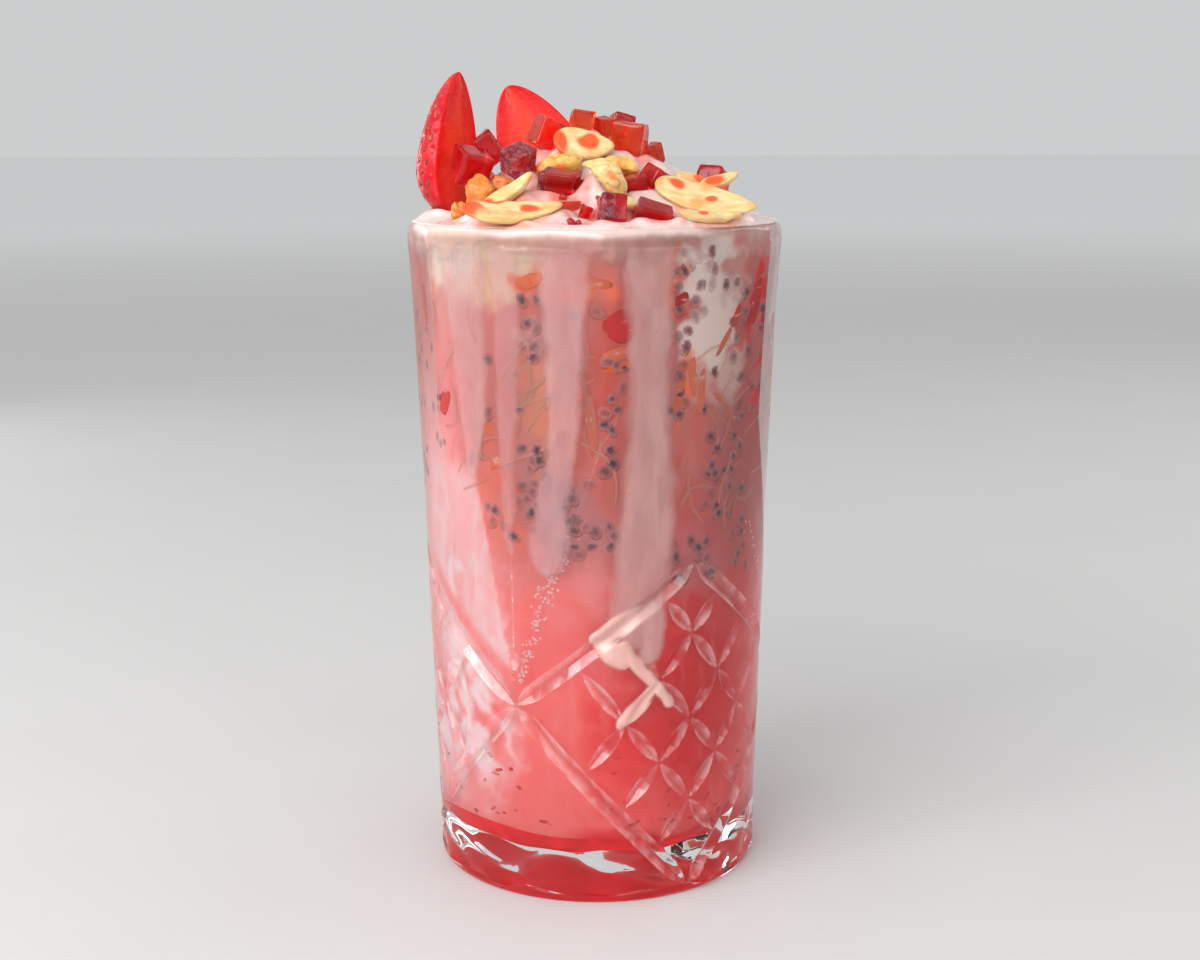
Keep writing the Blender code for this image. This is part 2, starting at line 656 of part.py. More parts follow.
def main():
    for thing in list(bpy.data.objects):
        bpy.data.objects.remove(thing, do_unlink=True)
    colours = {
        "berry": paint("berry", (0.75, 0.03, 0.02), 0.3),
        "jelly": paint("jelly", (0.6, 0.01, 0.01), 0.15),
        "almond": paint("almond", (0.8, 0.58, 0.25), 0.45),
        "nut": paint("nut", (0.72, 0.45, 0.12), 0.5),
    }
    make_glass(paint("glass", (1, 1, 1), 0.02, 1.0))
    make_syrup(paint("syrup", (0.7, 0.0, 0.01), 0.1))
    make_milk(paint("rose_milk", (0.85, 0.2, 0.18), 0.4))
    make_falooda(paint("falooda", (0.7, 0.28, 0.25), 0.4))
    cream = paint("cream", (0.85, 0.72, 0.68), 0.35)
    toppings = make_toppings(colours)
    make_cream(cream, toppings)
    make_cream_runs(cream)


main()
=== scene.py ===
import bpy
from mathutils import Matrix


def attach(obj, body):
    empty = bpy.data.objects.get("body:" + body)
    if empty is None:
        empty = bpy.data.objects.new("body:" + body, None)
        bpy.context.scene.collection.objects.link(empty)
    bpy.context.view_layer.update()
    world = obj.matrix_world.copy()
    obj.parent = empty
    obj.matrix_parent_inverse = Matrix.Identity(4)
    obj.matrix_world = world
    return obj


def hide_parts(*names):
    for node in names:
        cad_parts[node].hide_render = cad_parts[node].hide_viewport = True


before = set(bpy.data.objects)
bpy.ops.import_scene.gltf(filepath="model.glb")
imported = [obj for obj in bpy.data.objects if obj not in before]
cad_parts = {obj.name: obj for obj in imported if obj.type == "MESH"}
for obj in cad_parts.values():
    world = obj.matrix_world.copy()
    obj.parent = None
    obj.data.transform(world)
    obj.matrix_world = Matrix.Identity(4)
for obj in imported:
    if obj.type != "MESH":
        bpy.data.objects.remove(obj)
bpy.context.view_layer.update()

import math

import bmesh
import bpy
import numpy as np
from mathutils import Euler, Matrix, Vector
from mathutils.geometry import delaunay_2d_cdt

# Lengths are in millimetres and bearings in degrees from the front (-Y) towards +X, as in the part's source.
mm = 0.001
degree = np.pi / 180
mergeGap = 2e-6  # metres: points closer than this become one
creaseAngle = 40  # degrees: a sharper fold than this isn't smoothed
boreDegree = 0.62  # length of a degree at the wall of the bore


def spot(bearing, radius, z):
    # bearing, radius and height to x, y, z
    turn = np.asarray(bearing) * degree
    x, y, z = np.broadcast_arrays(radius * np.sin(turn), -radius * np.cos(turn), z)
    return np.stack([x, y, z], -1)


def bearingOf(points):
    # degrees from the front, seen from the axis
    return np.arctan2(points[..., 0], -points[..., 1]) / degree


def aside(bearing, middle):
    # degrees from a middle bearing, the short way round
    return (bearing - middle + 180) % 360 - 180


def anglesRound(count):
    # equal steps of one full turn, in radians
    return np.arange(count) * 2 * np.pi / count


def swung(u, v, angle):
    # u and v turned by an angle in their own plane
    return u * np.cos(angle) - v * np.sin(angle), u * np.sin(angle) + v * np.cos(angle)


def ballPoints(lat, lon):
    # a ball of radius 1: rows at polar angles lat, columns at turns lon
    lat, lon = np.meshgrid(lat, lon, indexing="ij")
    return np.stack([np.sin(lat) * np.cos(lon), np.sin(lat) * np.sin(lon), np.cos(lat)], -1)


def gridQuads(rows, columns, wrap=True):
    # quads of a grid of points numbered row by row; a wrapped row closes on itself
    i = np.arange(rows - 1)[:, None] * columns
    j = np.arange(columns if wrap else columns - 1)[None]
    k = (j + 1) % columns
    return np.stack([i + j, i + k, i + columns + k, i + columns + j], -1).reshape(-1, 4)


def fanTriangles(row, middle, flip=False):
    # triangles from a ring of point numbers to one point
    ring = np.asarray(row)
    pairs = np.stack([ring, np.roll(ring, -1), np.full(len(ring), middle)], -1)
    return pairs[:, ::-1] if flip else pairs


def closedGrid(points, flip=False):
    # a wrapped grid of rows, closed by a point in the middle of its first and of its last row
    rows, columns = points.shape[:2]
    flat = points.reshape(-1, 3)
    ends = np.stack([points[0].mean(0), points[-1].mean(0)])
    count, ring = len(flat), np.arange(columns)
    faces = [gridQuads(rows, columns), fanTriangles(ring, count, flip=True),
             fanTriangles(ring + (rows - 1) * columns, count + 1)]
    return np.concatenate([flat, ends]), [part[:, ::-1] if flip else part for part in faces]


def bowl(rows, middle, flip=False):
    # rings of points, closed by a point at height middle inside the last ring
    columns = len(rows[0])
    flat = np.concatenate([np.stack(rows).reshape(-1, 3), [[0, 0, middle]]])
    last = (len(rows) - 1) * columns + np.arange(columns)
    quads = gridQuads(len(rows), columns)
    return flat, [quads[:, ::-1] if flip else quads, fanTriangles(last, len(flat) - 1, flip)]


def spline(stops, count):
    # a smooth line through stops, sampled evenly between them (Catmull and Rom's cubic)
    stops = np.asarray(stops, float)
    padded = np.concatenate([2 * stops[:1] - stops[1:2], stops, 2 * stops[-1:] - stops[-2:-1]])
    along = np.linspace(0, len(stops) - 1, count)
    k = np.minimum(along.astype(int), len(stops) - 2)
    t = (along - k)[:, None]
    a, b, c, d = (padded[k + i] for i in range(4))
    return 0.5 * (2 * b + (c - a) * t + (2 * a - 5 * b + 4 * c - d) * t**2 + (3 * b - a - 3 * c + d) * t**3)


def ripple(points, size, seed, waves=7):
    # smooth noise about -1 to 1: a sum of sine waves of random direction, each about size long
    rng = np.random.default_rng(seed)
    total = np.zeros(points.shape[:-1])
    for _ in range(waves):
        direction = rng.normal(size=3)
        direction *= 2 * np.pi / (size * rng.uniform(0.6, 1.6) * np.linalg.norm(direction))
        total += np.sin(points @ direction + rng.uniform(0, 2 * np.pi))
    return total / math.sqrt(waves * 0.9)


def smoothStep(low, high, value):
    # 0 up to low, 1 from high on, and an S-shaped rise between
    t = np.clip((value - low) / (high - low), 0, 1)
    return t * t * (3 - 2 * t)


def tone(red, green, blue):
    # a colour given as screen values, 0 to 255, to the linear values that shaders take
    c = np.array([red, green, blue]) / 255
    return np.where(c <= 0.04045, c / 12.92, ((c + 0.055) / 1.055) ** 2.4)


def behindGlass(seen):
    # the paint that looks like the colour seen once it touches glass, which makes every colour deeper:
    # seen = 0.5 paint / (1 - 0.45 paint), solved for the paint
    seen = np.asarray(seen)
    return np.clip(seen / (0.5 + 0.45 * seen), 0, 0.98)


def wetTone(red, green, blue):
    # the paint for a colour given as screen values and seen through the glass
    return behindGlass(tone(red, green, blue))


def tinge(colour, shade, share):
    # moves every colour of an array towards a shade by its share
    colour += (shade - colour) * share[..., None]


class Builder:
    # gathers points, faces and per-point values of the parts of one piece

    def __init__(self):
        self.points, self.faces, self.values, self.count = [], [], {}, 0

    def add(self, points, faces, **values):
        # one part: its faces are numbered on from the parts before it
        points = np.asarray(points, float).reshape(-1, 3)
        self.points.append(points)
        self.faces.extend(np.asarray(f) + self.count for f in faces)
        for key, value in values.items():
            value = np.asarray(value, float)
            wanted = (len(points), 3) if value.shape[-1:] == (3,) else (len(points),)
            self.values.setdefault(key, []).append(np.broadcast_to(value, wanted))
        self.count += len(points)

    def piece(self, name, material, stands=()):
        # all the parts as one finished piece
        values = {key: np.concatenate(parts) for key, parts in self.values.items()}
        return makePiece(name, np.concatenate(self.points), self.faces, material, stands, values)


def makePiece(name, points, faces, material, stands=(), values=None, sharp=None):
    # a finished piece: its mesh in place, its finish, and the solids that it stands for
    mesh = bpy.data.meshes.new(name)
    polygons = [row for part in faces for row in np.asarray(part).tolist()]
    mesh.from_pydata((np.asarray(points) * mm).tolist(), [], polygons)
    for key, value in (values or {}).items():
        if value.ndim == 2:
            layer = mesh.color_attributes.new(name=key, type="FLOAT_COLOR", domain="POINT")
            rgba = np.concatenate([value, np.ones((len(value), 1))], 1)
            layer.data.foreach_set("color", rgba.astype(np.float32).ravel())
        else:
            layer = mesh.attributes.new(key, "FLOAT", "POINT")
            layer.data.foreach_set("value", value.astype(np.float32))
    mesh.shade_smooth()
    if sharp:
        mesh.set_sharp_from_angle(angle=sharp * degree)
    mesh.materials.append(material)
    thing = bpy.data.objects.new(name, mesh)
    bpy.context.scene.collection.objects.link(thing)
    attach(thing, "root")
    if stands:
        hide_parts(*stands)
    print(f"{name}: {sum(len(f) * (np.asarray(f).shape[1] - 2) for f in faces)} triangles")
    return thing


def mend(thing, merge=True):
    # points that meet become one, and every face points outwards
    shell = bmesh.new()
    shell.from_mesh(thing.data)
    if merge:
        bmesh.ops.remove_doubles(shell, verts=shell.verts, dist=mergeGap)
    bmesh.ops.recalc_face_normals(shell, faces=shell.faces)
    shell.to_mesh(thing.data)
    shell.free()


class Finish:
    # a procedural material, with short calls for the nodes that make up its looks

    def __init__(self, name, soft=(), **sockets):
        # soft is the subsurface weight, scale and, where it isn't the shader's own, radius
        self.material = bpy.data.materials.new(name)
        self.material.use_nodes = True
        self.tree = self.material.node_tree
        self.shader = self.tree.nodes["Principled BSDF"]
        sockets.update(zip(("Subsurface_Weight", "Subsurface_Scale", "Subsurface_Radius"), soft))
        for key, value in sockets.items():
            self.shader.inputs[key.replace("_", " ")].default_value = value
        self.where = self.node("TexCoord").outputs["Object"]

    def node(self, kind, inputs=None, **settings):
        # a node with its settings, and each input either set or linked
        node = self.tree.nodes.new("ShaderNode" + kind)
        for key, value in settings.items():
            setattr(node, key, value)
        for key, value in (inputs or {}).items():
            if isinstance(value, bpy.types.NodeSocket):
                self.tree.links.new(value, node.inputs[key])
            else:
                node.inputs[key].default_value = value
        return node

    def link(self, value, socket="Base Color"):
        # a node's output into one of the finish's sockets
        self.tree.links.new(value, self.shader.inputs[socket])

    def noise(self, size, detail=3.0, rough=0.55, warp=0.0, scale=None):
        # noise whose features are about size millimetres across; a scale under 1 draws them out
        where = self.where
        if scale:
            where = self.node("Mapping", {"Vector": where, "Scale": scale}, vector_type="POINT").outputs["Vector"]
        inputs = {"Vector": where, "Scale": 1 / (size * mm), "Detail": detail, "Roughness": rough, "Distortion": warp}
        return self.node("TexNoise", inputs).outputs["Fac"]

    def span(self, value, low, high, least=0.0, most=1.0):
        # value from low..high to least..most, held at both ends
        inputs = {"Value": value, "From Min": low, "From Max": high, "To Min": least, "To Max": most}
        return self.node("MapRange", inputs, interpolation_type="SMOOTHSTEP").outputs["Result"]

    def spots(self, size, detail, low, high, least=0.0, most=1.0, **kind):
        # noise of a size, spread from low..high to least..most
        return self.span(self.noise(size, detail, **kind), low, high, least, most)

    def maths(self, operation, a, b):
        # one operation on two numbers
        return self.node("Math", {0: a, 1: b}, operation=operation).outputs[0]

    def value(self, name):
        # the number of this name on the piece's points
        return self.node("Attribute", attribute_name=name).outputs["Fac"]

    def painted(self):
        # the colour on the piece's points
        return self.node("Attribute", attribute_name="shade").outputs["Color"]

    def mixed(self, share, a, b):
        # two colours mixed by a share; a colour is a socket or three linear values
        sides = [c if isinstance(c, bpy.types.NodeSocket) else (*[float(x) for x in c], 1) for c in (a, b)]
        return self.node("Mix", {0: share, 6: sides[0], 7: sides[1]}, data_type="RGBA").outputs[2]

    def bump(self, height, depth, strength):
        # relief of depth millimetres
        inputs = {"Height": height, "Distance": depth * mm, "Strength": strength}
        self.link(self.node("Bump", inputs).outputs["Normal"], "Normal")


# the glass: the same turned wall and cuts as the solid, with a finer net
glass = {
    "foot": 34.2, "floor": 9.0, "boreAtFloor": 30.6, "boreGrowth": 0.0475, "boreCorner": 7.0,
    "patternLow": 2.0, "shoulder": 136.5, "fan": -27.5, "sector": 60.0, "crossing": 42.5, "lozengeTop": 72.5,
    "hatch": 39.5, "hatchAcross": 11.5, "hatchUp": 9.05, "petalFoot": 49.0, "petalTop": 100.0, "flute": 30.0,
    "degreeLength": 0.64, "hatchStopsAbove": (0.37, 0.604, 0.838), "hatchStopsBelow": (0.4, 0.605, 0.812),
}
broadCut = {"half": 2.0, "slope": 0.62, "taper": 0.12}
fineCut = {"half": 1.6, "slope": 0.62, "taper": 0.5}
rimStops = [  # share of the flutes left, radius, height
    (1.0, 40.01, 136.5), (0.85, 40.05, 137.6), (0.7, 39.95, 138.6), (0.4, 39.45, 139.5), (0.05, 38.45, 140.0),
    (0.0, 37.7, 139.65), (0.0, 37.25, 138.8), (0.0, 37.165, 138.0),
]


def unfold(bearing):
    # degrees from the nearest crossing: the pattern repeats and mirrors every 60 degrees
    turned = np.mod(bearing - glass["fan"], 2 * glass["sector"])
    return np.minimum(turned, 2 * glass["sector"] - turned)


def wallRadius(z):
    # the turned outside: a slow taper that opens a little faster towards the rim
    upper = 0.8 * np.clip((z - 60) / 80, 0, None) ** 2
    return 35.0 + 0.0305 * z + upper + 0.5 * np.clip((z - 120) / 20, 0, None) ** 2


def boreRadius(z):
    # the inside: a straight taper with a round corner at the floor
    corner = glass["boreCorner"]
    short = np.clip((glass["floor"] + corner - z) / corner, 0, 1)
    return glass["boreAtFloor"] + glass["boreGrowth"] * z - corner * (1 - np.sqrt(1 - short**2))


def broadLine(share, low):
    # a broad cut's middle line, from the crossing to its end: bearing and height
    end = glass["patternLow"] if low else glass["lozengeTop"]
    return share * glass["sector"], glass["crossing"] + share * (end - glass["crossing"])


def cutWidth(share, cut):
    # half width of a lens-shaped cut: full in the middle, pointed at both ends
    near = np.clip(np.minimum(share, 1 - share) / cut["taper"], 0, 1)
    return cut["half"] * (1 - (1 - near) ** 2)


def shoulderPoint(share, low, side):
    # the edge of a broad cut, straight above or below its middle
    x, z = broadLine(share, low)
    rise = (broadLine(1, low)[1] - glass["crossing"]) / (glass["sector"] * glass["degreeLength"])
    return x, z + side * float(cutWidth(share, broadCut)) * math.hypot(1, rise)


def hatchNode(across, up):
    # a crossing of the fine cuts, counted across and up from the middle of the hatch
    return glass["sector"] - across * glass["hatchAcross"], glass["hatch"] + up * glass["hatchUp"]


def cutLines():
    # each cut of the half pattern: its start, its end and its shape
    above = [shoulderPoint(s, False, -1) for s in glass["hatchStopsAbove"]]
    below = [shoulderPoint(s, True, 1) for s in glass["hatchStopsBelow"]]
    crossings = [
        (below[0], (2, 0)), ((2, 0), (1, 1)), ((1, 1), (0, 2)), (below[1], (1, -1)), ((1, -1), (0, 0)),
        (below[2], (0, -2)), (above[0], (2, 0)), ((2, 0), (1, -1)), ((1, -1), (0, -2)), (above[1], (1, 1)),
        ((1, 1), (0, 0)), (above[2], (0, 2)),
    ]
    edges = above + below
    lines = [(broadLine(0, low), broadLine(1, low), broadCut) for low in (False, True)]
    for start, end in crossings:
        lines.append((start if start in edges else hatchNode(*start), hatchNode(*end), fineCut))
    return lines


def lensDepth(x, z, start, end, cut):
    # depth of one V-shaped cut along a straight line on the unrolled wall
    long = glass["degreeLength"]
    dx, dz = (end[0] - start[0]) * long, end[1] - start[1]
    length = math.hypot(dx, dz)
    px, pz = (x - start[0]) * long, z - start[1]
    share = (px * dx + pz * dz) / length**2
    off = np.abs(px * dz - pz * dx) / length
    depth = cut["slope"] * np.clip(cutWidth(share, cut) - off, 0, None)
    return np.where((share > 0) & (share < 1), depth, 0)


def petalEdge(z):
    # where the petal beside the fan's axis ends
    share = np.clip((z - glass["petalFoot"]) / (glass["petalTop"] - glass["petalFoot"]), 0, 1)
    return glass["flute"] * share**0.78


def cutDepth(bearing, z):
    # how far the cut wall lies inside the turned outside: flat petals and flutes, then the deepest V cut
    x, z = np.broadcast_arrays(unfold(bearing), z)
    edge = petalEdge(z)
    petal = x < edge
    half = np.where(petal, edge, glass["sector"] - edge) / 2
    middle = np.where(petal, edge, glass["sector"] + edge) / 2
    bulge = 1 - np.clip(np.abs(x - middle) / np.maximum(half, 1e-6), 0, 1) ** 2
    fade = np.clip((z - glass["lozengeTop"]) / (glass["petalTop"] - glass["lozengeTop"]), 0, 1)
    flat = np.where(petal, 1 - np.cos(half * degree), fade * (1 - math.cos(glass["flute"] / 2 * degree)))
    depth = wallRadius(z) * flat * bulge
    for start, end, cut in cutLines():
        depth = np.maximum(depth, lensDepth(x, z, start, end, cut))
    return depth


def castWave(bearing, z):
    # the moulded base isn't quite true: its wall swells and sinks a little, less and less with height
    points = spot(bearing, glass["foot"], np.asarray(z, float))
    low = smoothStep(16, 3, points[..., 2]) * smoothStep(0.1, 1.5, points[..., 2])
    return 0.42 * low * ripple(points * [1, 1, 1.9], 9, 60) + 0.06 * ripple(points * [1, 1, 0.3], 13, 61)


def glassRadius(bearing, z):
    # the turned outside less its cuts, with the waves of its base
    return wallRadius(z) - cutDepth(bearing, z) + castWave(bearing, z)


# the net over the half pattern: columns round the rim, distance of the lines beside an edge, the lattice's step, where
# it starts (degrees and height) and stops (degrees short of the mirror), steps along cuts and uprights, points of a
# petal's line, what still counts as inside, and the distance under which two points become one
net = {
    "columns": 480, "softEdge": 0.16, "lattice": 1.5, "latticeStart": (1.2, 0.8), "latticeStop": 0.8, "along": 0.9,
    "upright": 1.6, "petalPoints": 50, "slack": 1e-6, "weld": 0.03,
}


def glassNet():
    # points and triangles of the half pattern: lines along each ridge and valley, with a line close
    # beside each so that the edge is soft, a lattice between them, and Delaunay's triangles over all
    long, soft = glass["degreeLength"], net["softEdge"]
    low, high, sector = glass["patternLow"], glass["shoulder"], glass["sector"]
    points, edges = [], []

    def place(line, joined):  # adds a line's points, and its edges where it has to stay in the net
        ids = len(points) + np.arange(len(line))
        points.extend(map(tuple, line))
        if joined:
            edges.extend(zip(ids[:-1].tolist(), ids[1:].tolist()))

    def between(start, end, step=net["upright"]):  # even steps from start to end: shares and points
        start, end = np.array(start), np.array(end)
        length = math.hypot((end[0] - start[0]) * long, end[1] - start[1])
        share = np.linspace(0, 1, max(3, int(length / step) + 1))
        return share, start + share[:, None] * (end - start)

    step = 360 / net["columns"]
    across = np.arange(0, sector + step / 2, step)
    for z in (low, high):
        place(np.stack([across, np.full(len(across), z)], -1), True)
    for x in (0, sector):
        place(between((x, low), (x, high))[1], True)
    for side in (-1, 0, 1):  # the ridges between petals and flutes
        share = np.linspace(0, 1, net["petalPoints"])
        z = glass["petalFoot"] + share * (glass["petalTop"] - glass["petalFoot"])
        place(np.stack([petalEdge(z) + side * soft / long, z], -1)[1:], side == 0)
        x = glass["flute"] + side * soft / long
        place(between((x, glass["petalTop"]), (x, high))[1], side == 0)
    for x in (soft / long, sector - soft / long):
        place(between((x, glass["petalFoot"]), (x, high))[1], False)
    for start, end, cut in cutLines():
        share, middle = between(start, end, net["along"])
        dx, dz = (end[0] - start[0]) * long, end[1] - start[1]
        normal = np.array([-dz / long, dx]) / math.hypot(dx, dz)
        wide = cutWidth(share, cut)[:, None]
        place(middle, True)
        for side in (-1, 1):
            place(middle + side * wide * normal, True)
            for off in (wide - soft, wide + soft, np.full_like(wide, soft)):
                keep = (wide > 2 * soft)[:, 0]
                place((middle + side * off * normal)[keep], False)
    known = np.array(points)
    gap, (left, under), right = net["lattice"], net["latticeStart"], net["latticeStop"]
    x, z = np.meshgrid(np.arange(left, sector, gap / long), np.arange(low + under, high, gap))
    x = x + (np.arange(len(x)) % 2)[:, None] * gap / long / 2
    lattice = np.stack([x.ravel(), z.ravel()], -1)
    gaps = (lattice[:, None] - known[None]) * [long, 1]
    clear = np.hypot(gaps[..., 0], gaps[..., 1]).min(1) > gap / 2
    every = np.concatenate([known, lattice[clear & (lattice[:, 0] < sector - right)]])
    slack = net["slack"]
    inside = ((every >= [-slack, low - slack]) & (every <= [sector + slack, high + slack])).all(1)
    number = np.cumsum(inside) - 1
    kept = [(int(number[a]), int(number[b])) for a, b in edges if inside[a] and inside[b]]
    flat = [Vector((x * long, z)) for x, z in every[inside]]
    verts, _, faces, *_ = delaunay_2d_cdt(flat, kept, [], 0, net["weld"])
    found = np.array([tuple(v) for v in verts]) / [long, 1]
    return found, np.array([f for f in faces if len(f) == 3])


netPoints, netTriangles = glassNet()


def sixfold(across):
    # the half pattern's bearings turned and mirrored six times round, each with its sign
    for copy in range(6):
        sign = 1 if copy % 2 == 0 else -1
        yield glass["fan"] + 2 * glass["sector"] * ((copy + 1) // 2) + sign * across, sign


# the foot from the wall inwards: radius past the foot's own and height, then share of the foot's radius and height
heelOut = [(0.78, 1.3), (0.68, 0.75), (0.42, 0.28), (0.12, 0.04), (0, 0)]
heelIn = [
    (0.97, 0), (0.95, 0.04), (0.92, 0.3), (0.87, 0.75), (0.8, 1.25), (0.7, 1.8), (0.58, 2.3), (0.44, 2.7), (0.28, 2.95),
    (0.12, 3.05),
]
hollowTop = 3.1
hollowWave = {"height": 0.5, "size": 10, "seed": 62}
# rows of the bore: how many on the rim and in the corner at the floor, their heights between, and rings on the floor
boreRows = {"rim": 22, "corner": 12, "heights": (120, 100, 80, 60, 40, 25), "floor": (0.8, 0.5, 0.2)}


def makeGlass(material):
    # the cut wall six times over, then the rim, bore and floor, then the heel and the hollow underneath
    parts = Builder()
    z = netPoints[:, 1]
    for bearing, sign in sixfold(netPoints[:, 0]):
        parts.add(spot(bearing, glassRadius(bearing, z), z), [netTriangles[:, ::sign]])
    shoulder, floor, foot = (glass[key] for key in ("shoulder", "floor", "foot"))
    columns = net["columns"]
    bearing = glass["fan"] + 360 / columns * np.arange(columns)
    fluted = cutDepth(bearing, np.full(columns, shoulder))
    rows = [spot(bearing, glassRadius(bearing, np.full(columns, shoulder)), shoulder)]
    rows += [spot(bearing, radius - share * fluted, z) for share, radius, z in spline(rimStops, boreRows["rim"])[1:]]
    corner = floor + glass["boreCorner"] * (1 - np.cos(np.linspace(90, 6, boreRows["corner"]) * degree))
    rows += [spot(bearing, boreRadius(z), z) for z in (*boreRows["heights"], *corner, floor)]
    rows += [spot(bearing, share * boreRadius(floor), floor) for share in boreRows["floor"]]
    parts.add(*bowl(rows, floor))
    low = glass["patternLow"]
    rows = [spot(bearing, glassRadius(bearing, np.full(columns, low)), low)]
    rows += [spot(bearing, foot + out, z) for out, z in heelOut]
    rows += [spot(bearing, share * foot, z) for share, z in heelIn]
    under, faces = bowl(rows, hollowTop, flip=True)
    wave = hollowWave["height"] * smoothStep(0.6, 2.2, under[:, 2])
    under[:, 2] += wave * ripple(under, hollowWave["size"], hollowWave["seed"])
    parts.add(under, faces)
    mend(parts.piece("cut_glass", material, ["glass"]))


def glassMaterial():
    # clear, with slow waves in its face and the faintest smudges
    paint = Finish("clear_glass", Roughness=0.0, IOR=1.5, Transmission_Weight=1.0, Base_Color=(0.985, 0.99, 0.99, 1))
    paint.bump(paint.noise(9, 1.5, scale=(1, 1, 0.45)), 0.12, 0.35)
    paint.link(paint.spots(14, 3, 0.55, 0.75, 0.0, 0.03), "Roughness")
    return paint.material


# the film is a painted highlight: pale where the cut faces and ridges catch the light
# the film on the cuts: how far it stands off, and how pale it is at a cut's edge and in its valley, on the fan's axis
# and on the ridges beside its petals; a cut shallower than least has none, and from full on it is whole
cutHighlight = {
    "proud": 0.02, "edge": 0.4, "valley": 0.08, "least": 0.02, "full": 0.06, "axis": 0.55, "ridge": 0.14,
    "thread": 1.05,
}


def makeCutHighlights(material):
    # painted highlight on the cuts: a pale film on each V, thickest at its edges and thinnest in its valley,
    # and a thread of it, a painted highlight line, on the fan's axis and on the ridges beside its petals
    x, z = netPoints.T
    deep = np.zeros(len(x))
    for start, end, cut in cutLines():
        deep = np.maximum(deep, lensDepth(x, z, start, end, cut) / (cut["slope"] * cut["half"]))
    reach = cutHighlight["thread"] * net["softEdge"] / glass["degreeLength"]
    petals = (z > glass["petalFoot"]) & (z < glass["petalTop"])
    axis = petals & (x < reach)
    ridge = petals & (np.abs(x - petalEdge(z)) < reach)
    kept = netTriangles[(deep[netTriangles].max(1) > cutHighlight["least"]) | (axis | ridge)[netTriangles].all(1)]
    used, kept = np.unique(kept, return_inverse=True)
    kept = kept.reshape(-1, 3)
    veil = (cutHighlight["edge"] + (cutHighlight["valley"] - cutHighlight["edge"]) * deep) * smoothStep(0, cutHighlight["full"], deep)
    veil = np.maximum(veil, cutHighlight["axis"] * axis + cutHighlight["ridge"] * ridge * ~axis)
    parts = Builder()
    for bearing, sign in sixfold(x[used]):
        points = spot(bearing, glassRadius(bearing, z[used]) + cutHighlight["proud"], z[used])
        parts.add(points, [kept[:, ::sign]], veil=veil[used])
    parts.piece("cut_highlights", material)


def cutHighlightMaterial():
    # a painted highlight: pale and rough, in streaks, and partly see-through
    paint = Finish("highlight_film", Roughness=0.3, Base_Color=(0.86, 0.66, 0.66, 1))
    streaks = paint.spots(3.2, 3, 0.38, 0.66, 0.12, 1.0, rough=0.6, warp=0.4, scale=(1, 1, 0.7))
    paint.link(paint.maths("MULTIPLY", paint.value("veil"), streaks), "Alpha")
    paint.bump(paint.noise(0.8, 3), 0.1, 0.5)
    return paint.material


makeGlass(glassMaterial())
makeCutHighlights(cutHighlightMaterial())

# what fills the glass: three layers that reach just into the wall
drink = {
    "reach": 0.25, "syrupReach": 0.22, "overlap": 0.4, "syrupHeight": 12.8, "milkHeight": 71.5, "creamFoot": 133.6,
    "columns": 360, "syrupRows": 10, "milkRows": 76, "faloodaRows": 90, "rings": (0.15, 0.4, 0.7, 0.9),
}

shades = {
    "syrup": tone(225, 30, 40),
    "coral": tone(250, 88, 86),
    "deep": tone(232, 36, 40),
    "blush": tone(255, 140, 142),
    "rose": tone(190, 94, 88),
    "dusty": tone(184, 84, 76),
    "iceCream": tone(232, 182, 152),
    "cream": tone(222, 192, 180),
    "milkWhite": tone(255, 216, 220),
    "berry": tone(200, 12, 14),
    "orange": tone(238, 88, 48),
    "amber": tone(206, 116, 86),
    "mauve": tone(158, 92, 96),
    "rust": tone(176, 48, 34),
    "paintedShade": tone(150, 64, 62),
    "wedge": tone(255, 180, 182),
    "wineAndShade": tone(184, 16, 24),
    "vanilla": tone(252, 230, 210),
    "shadow": tone(150, 74, 70),
}

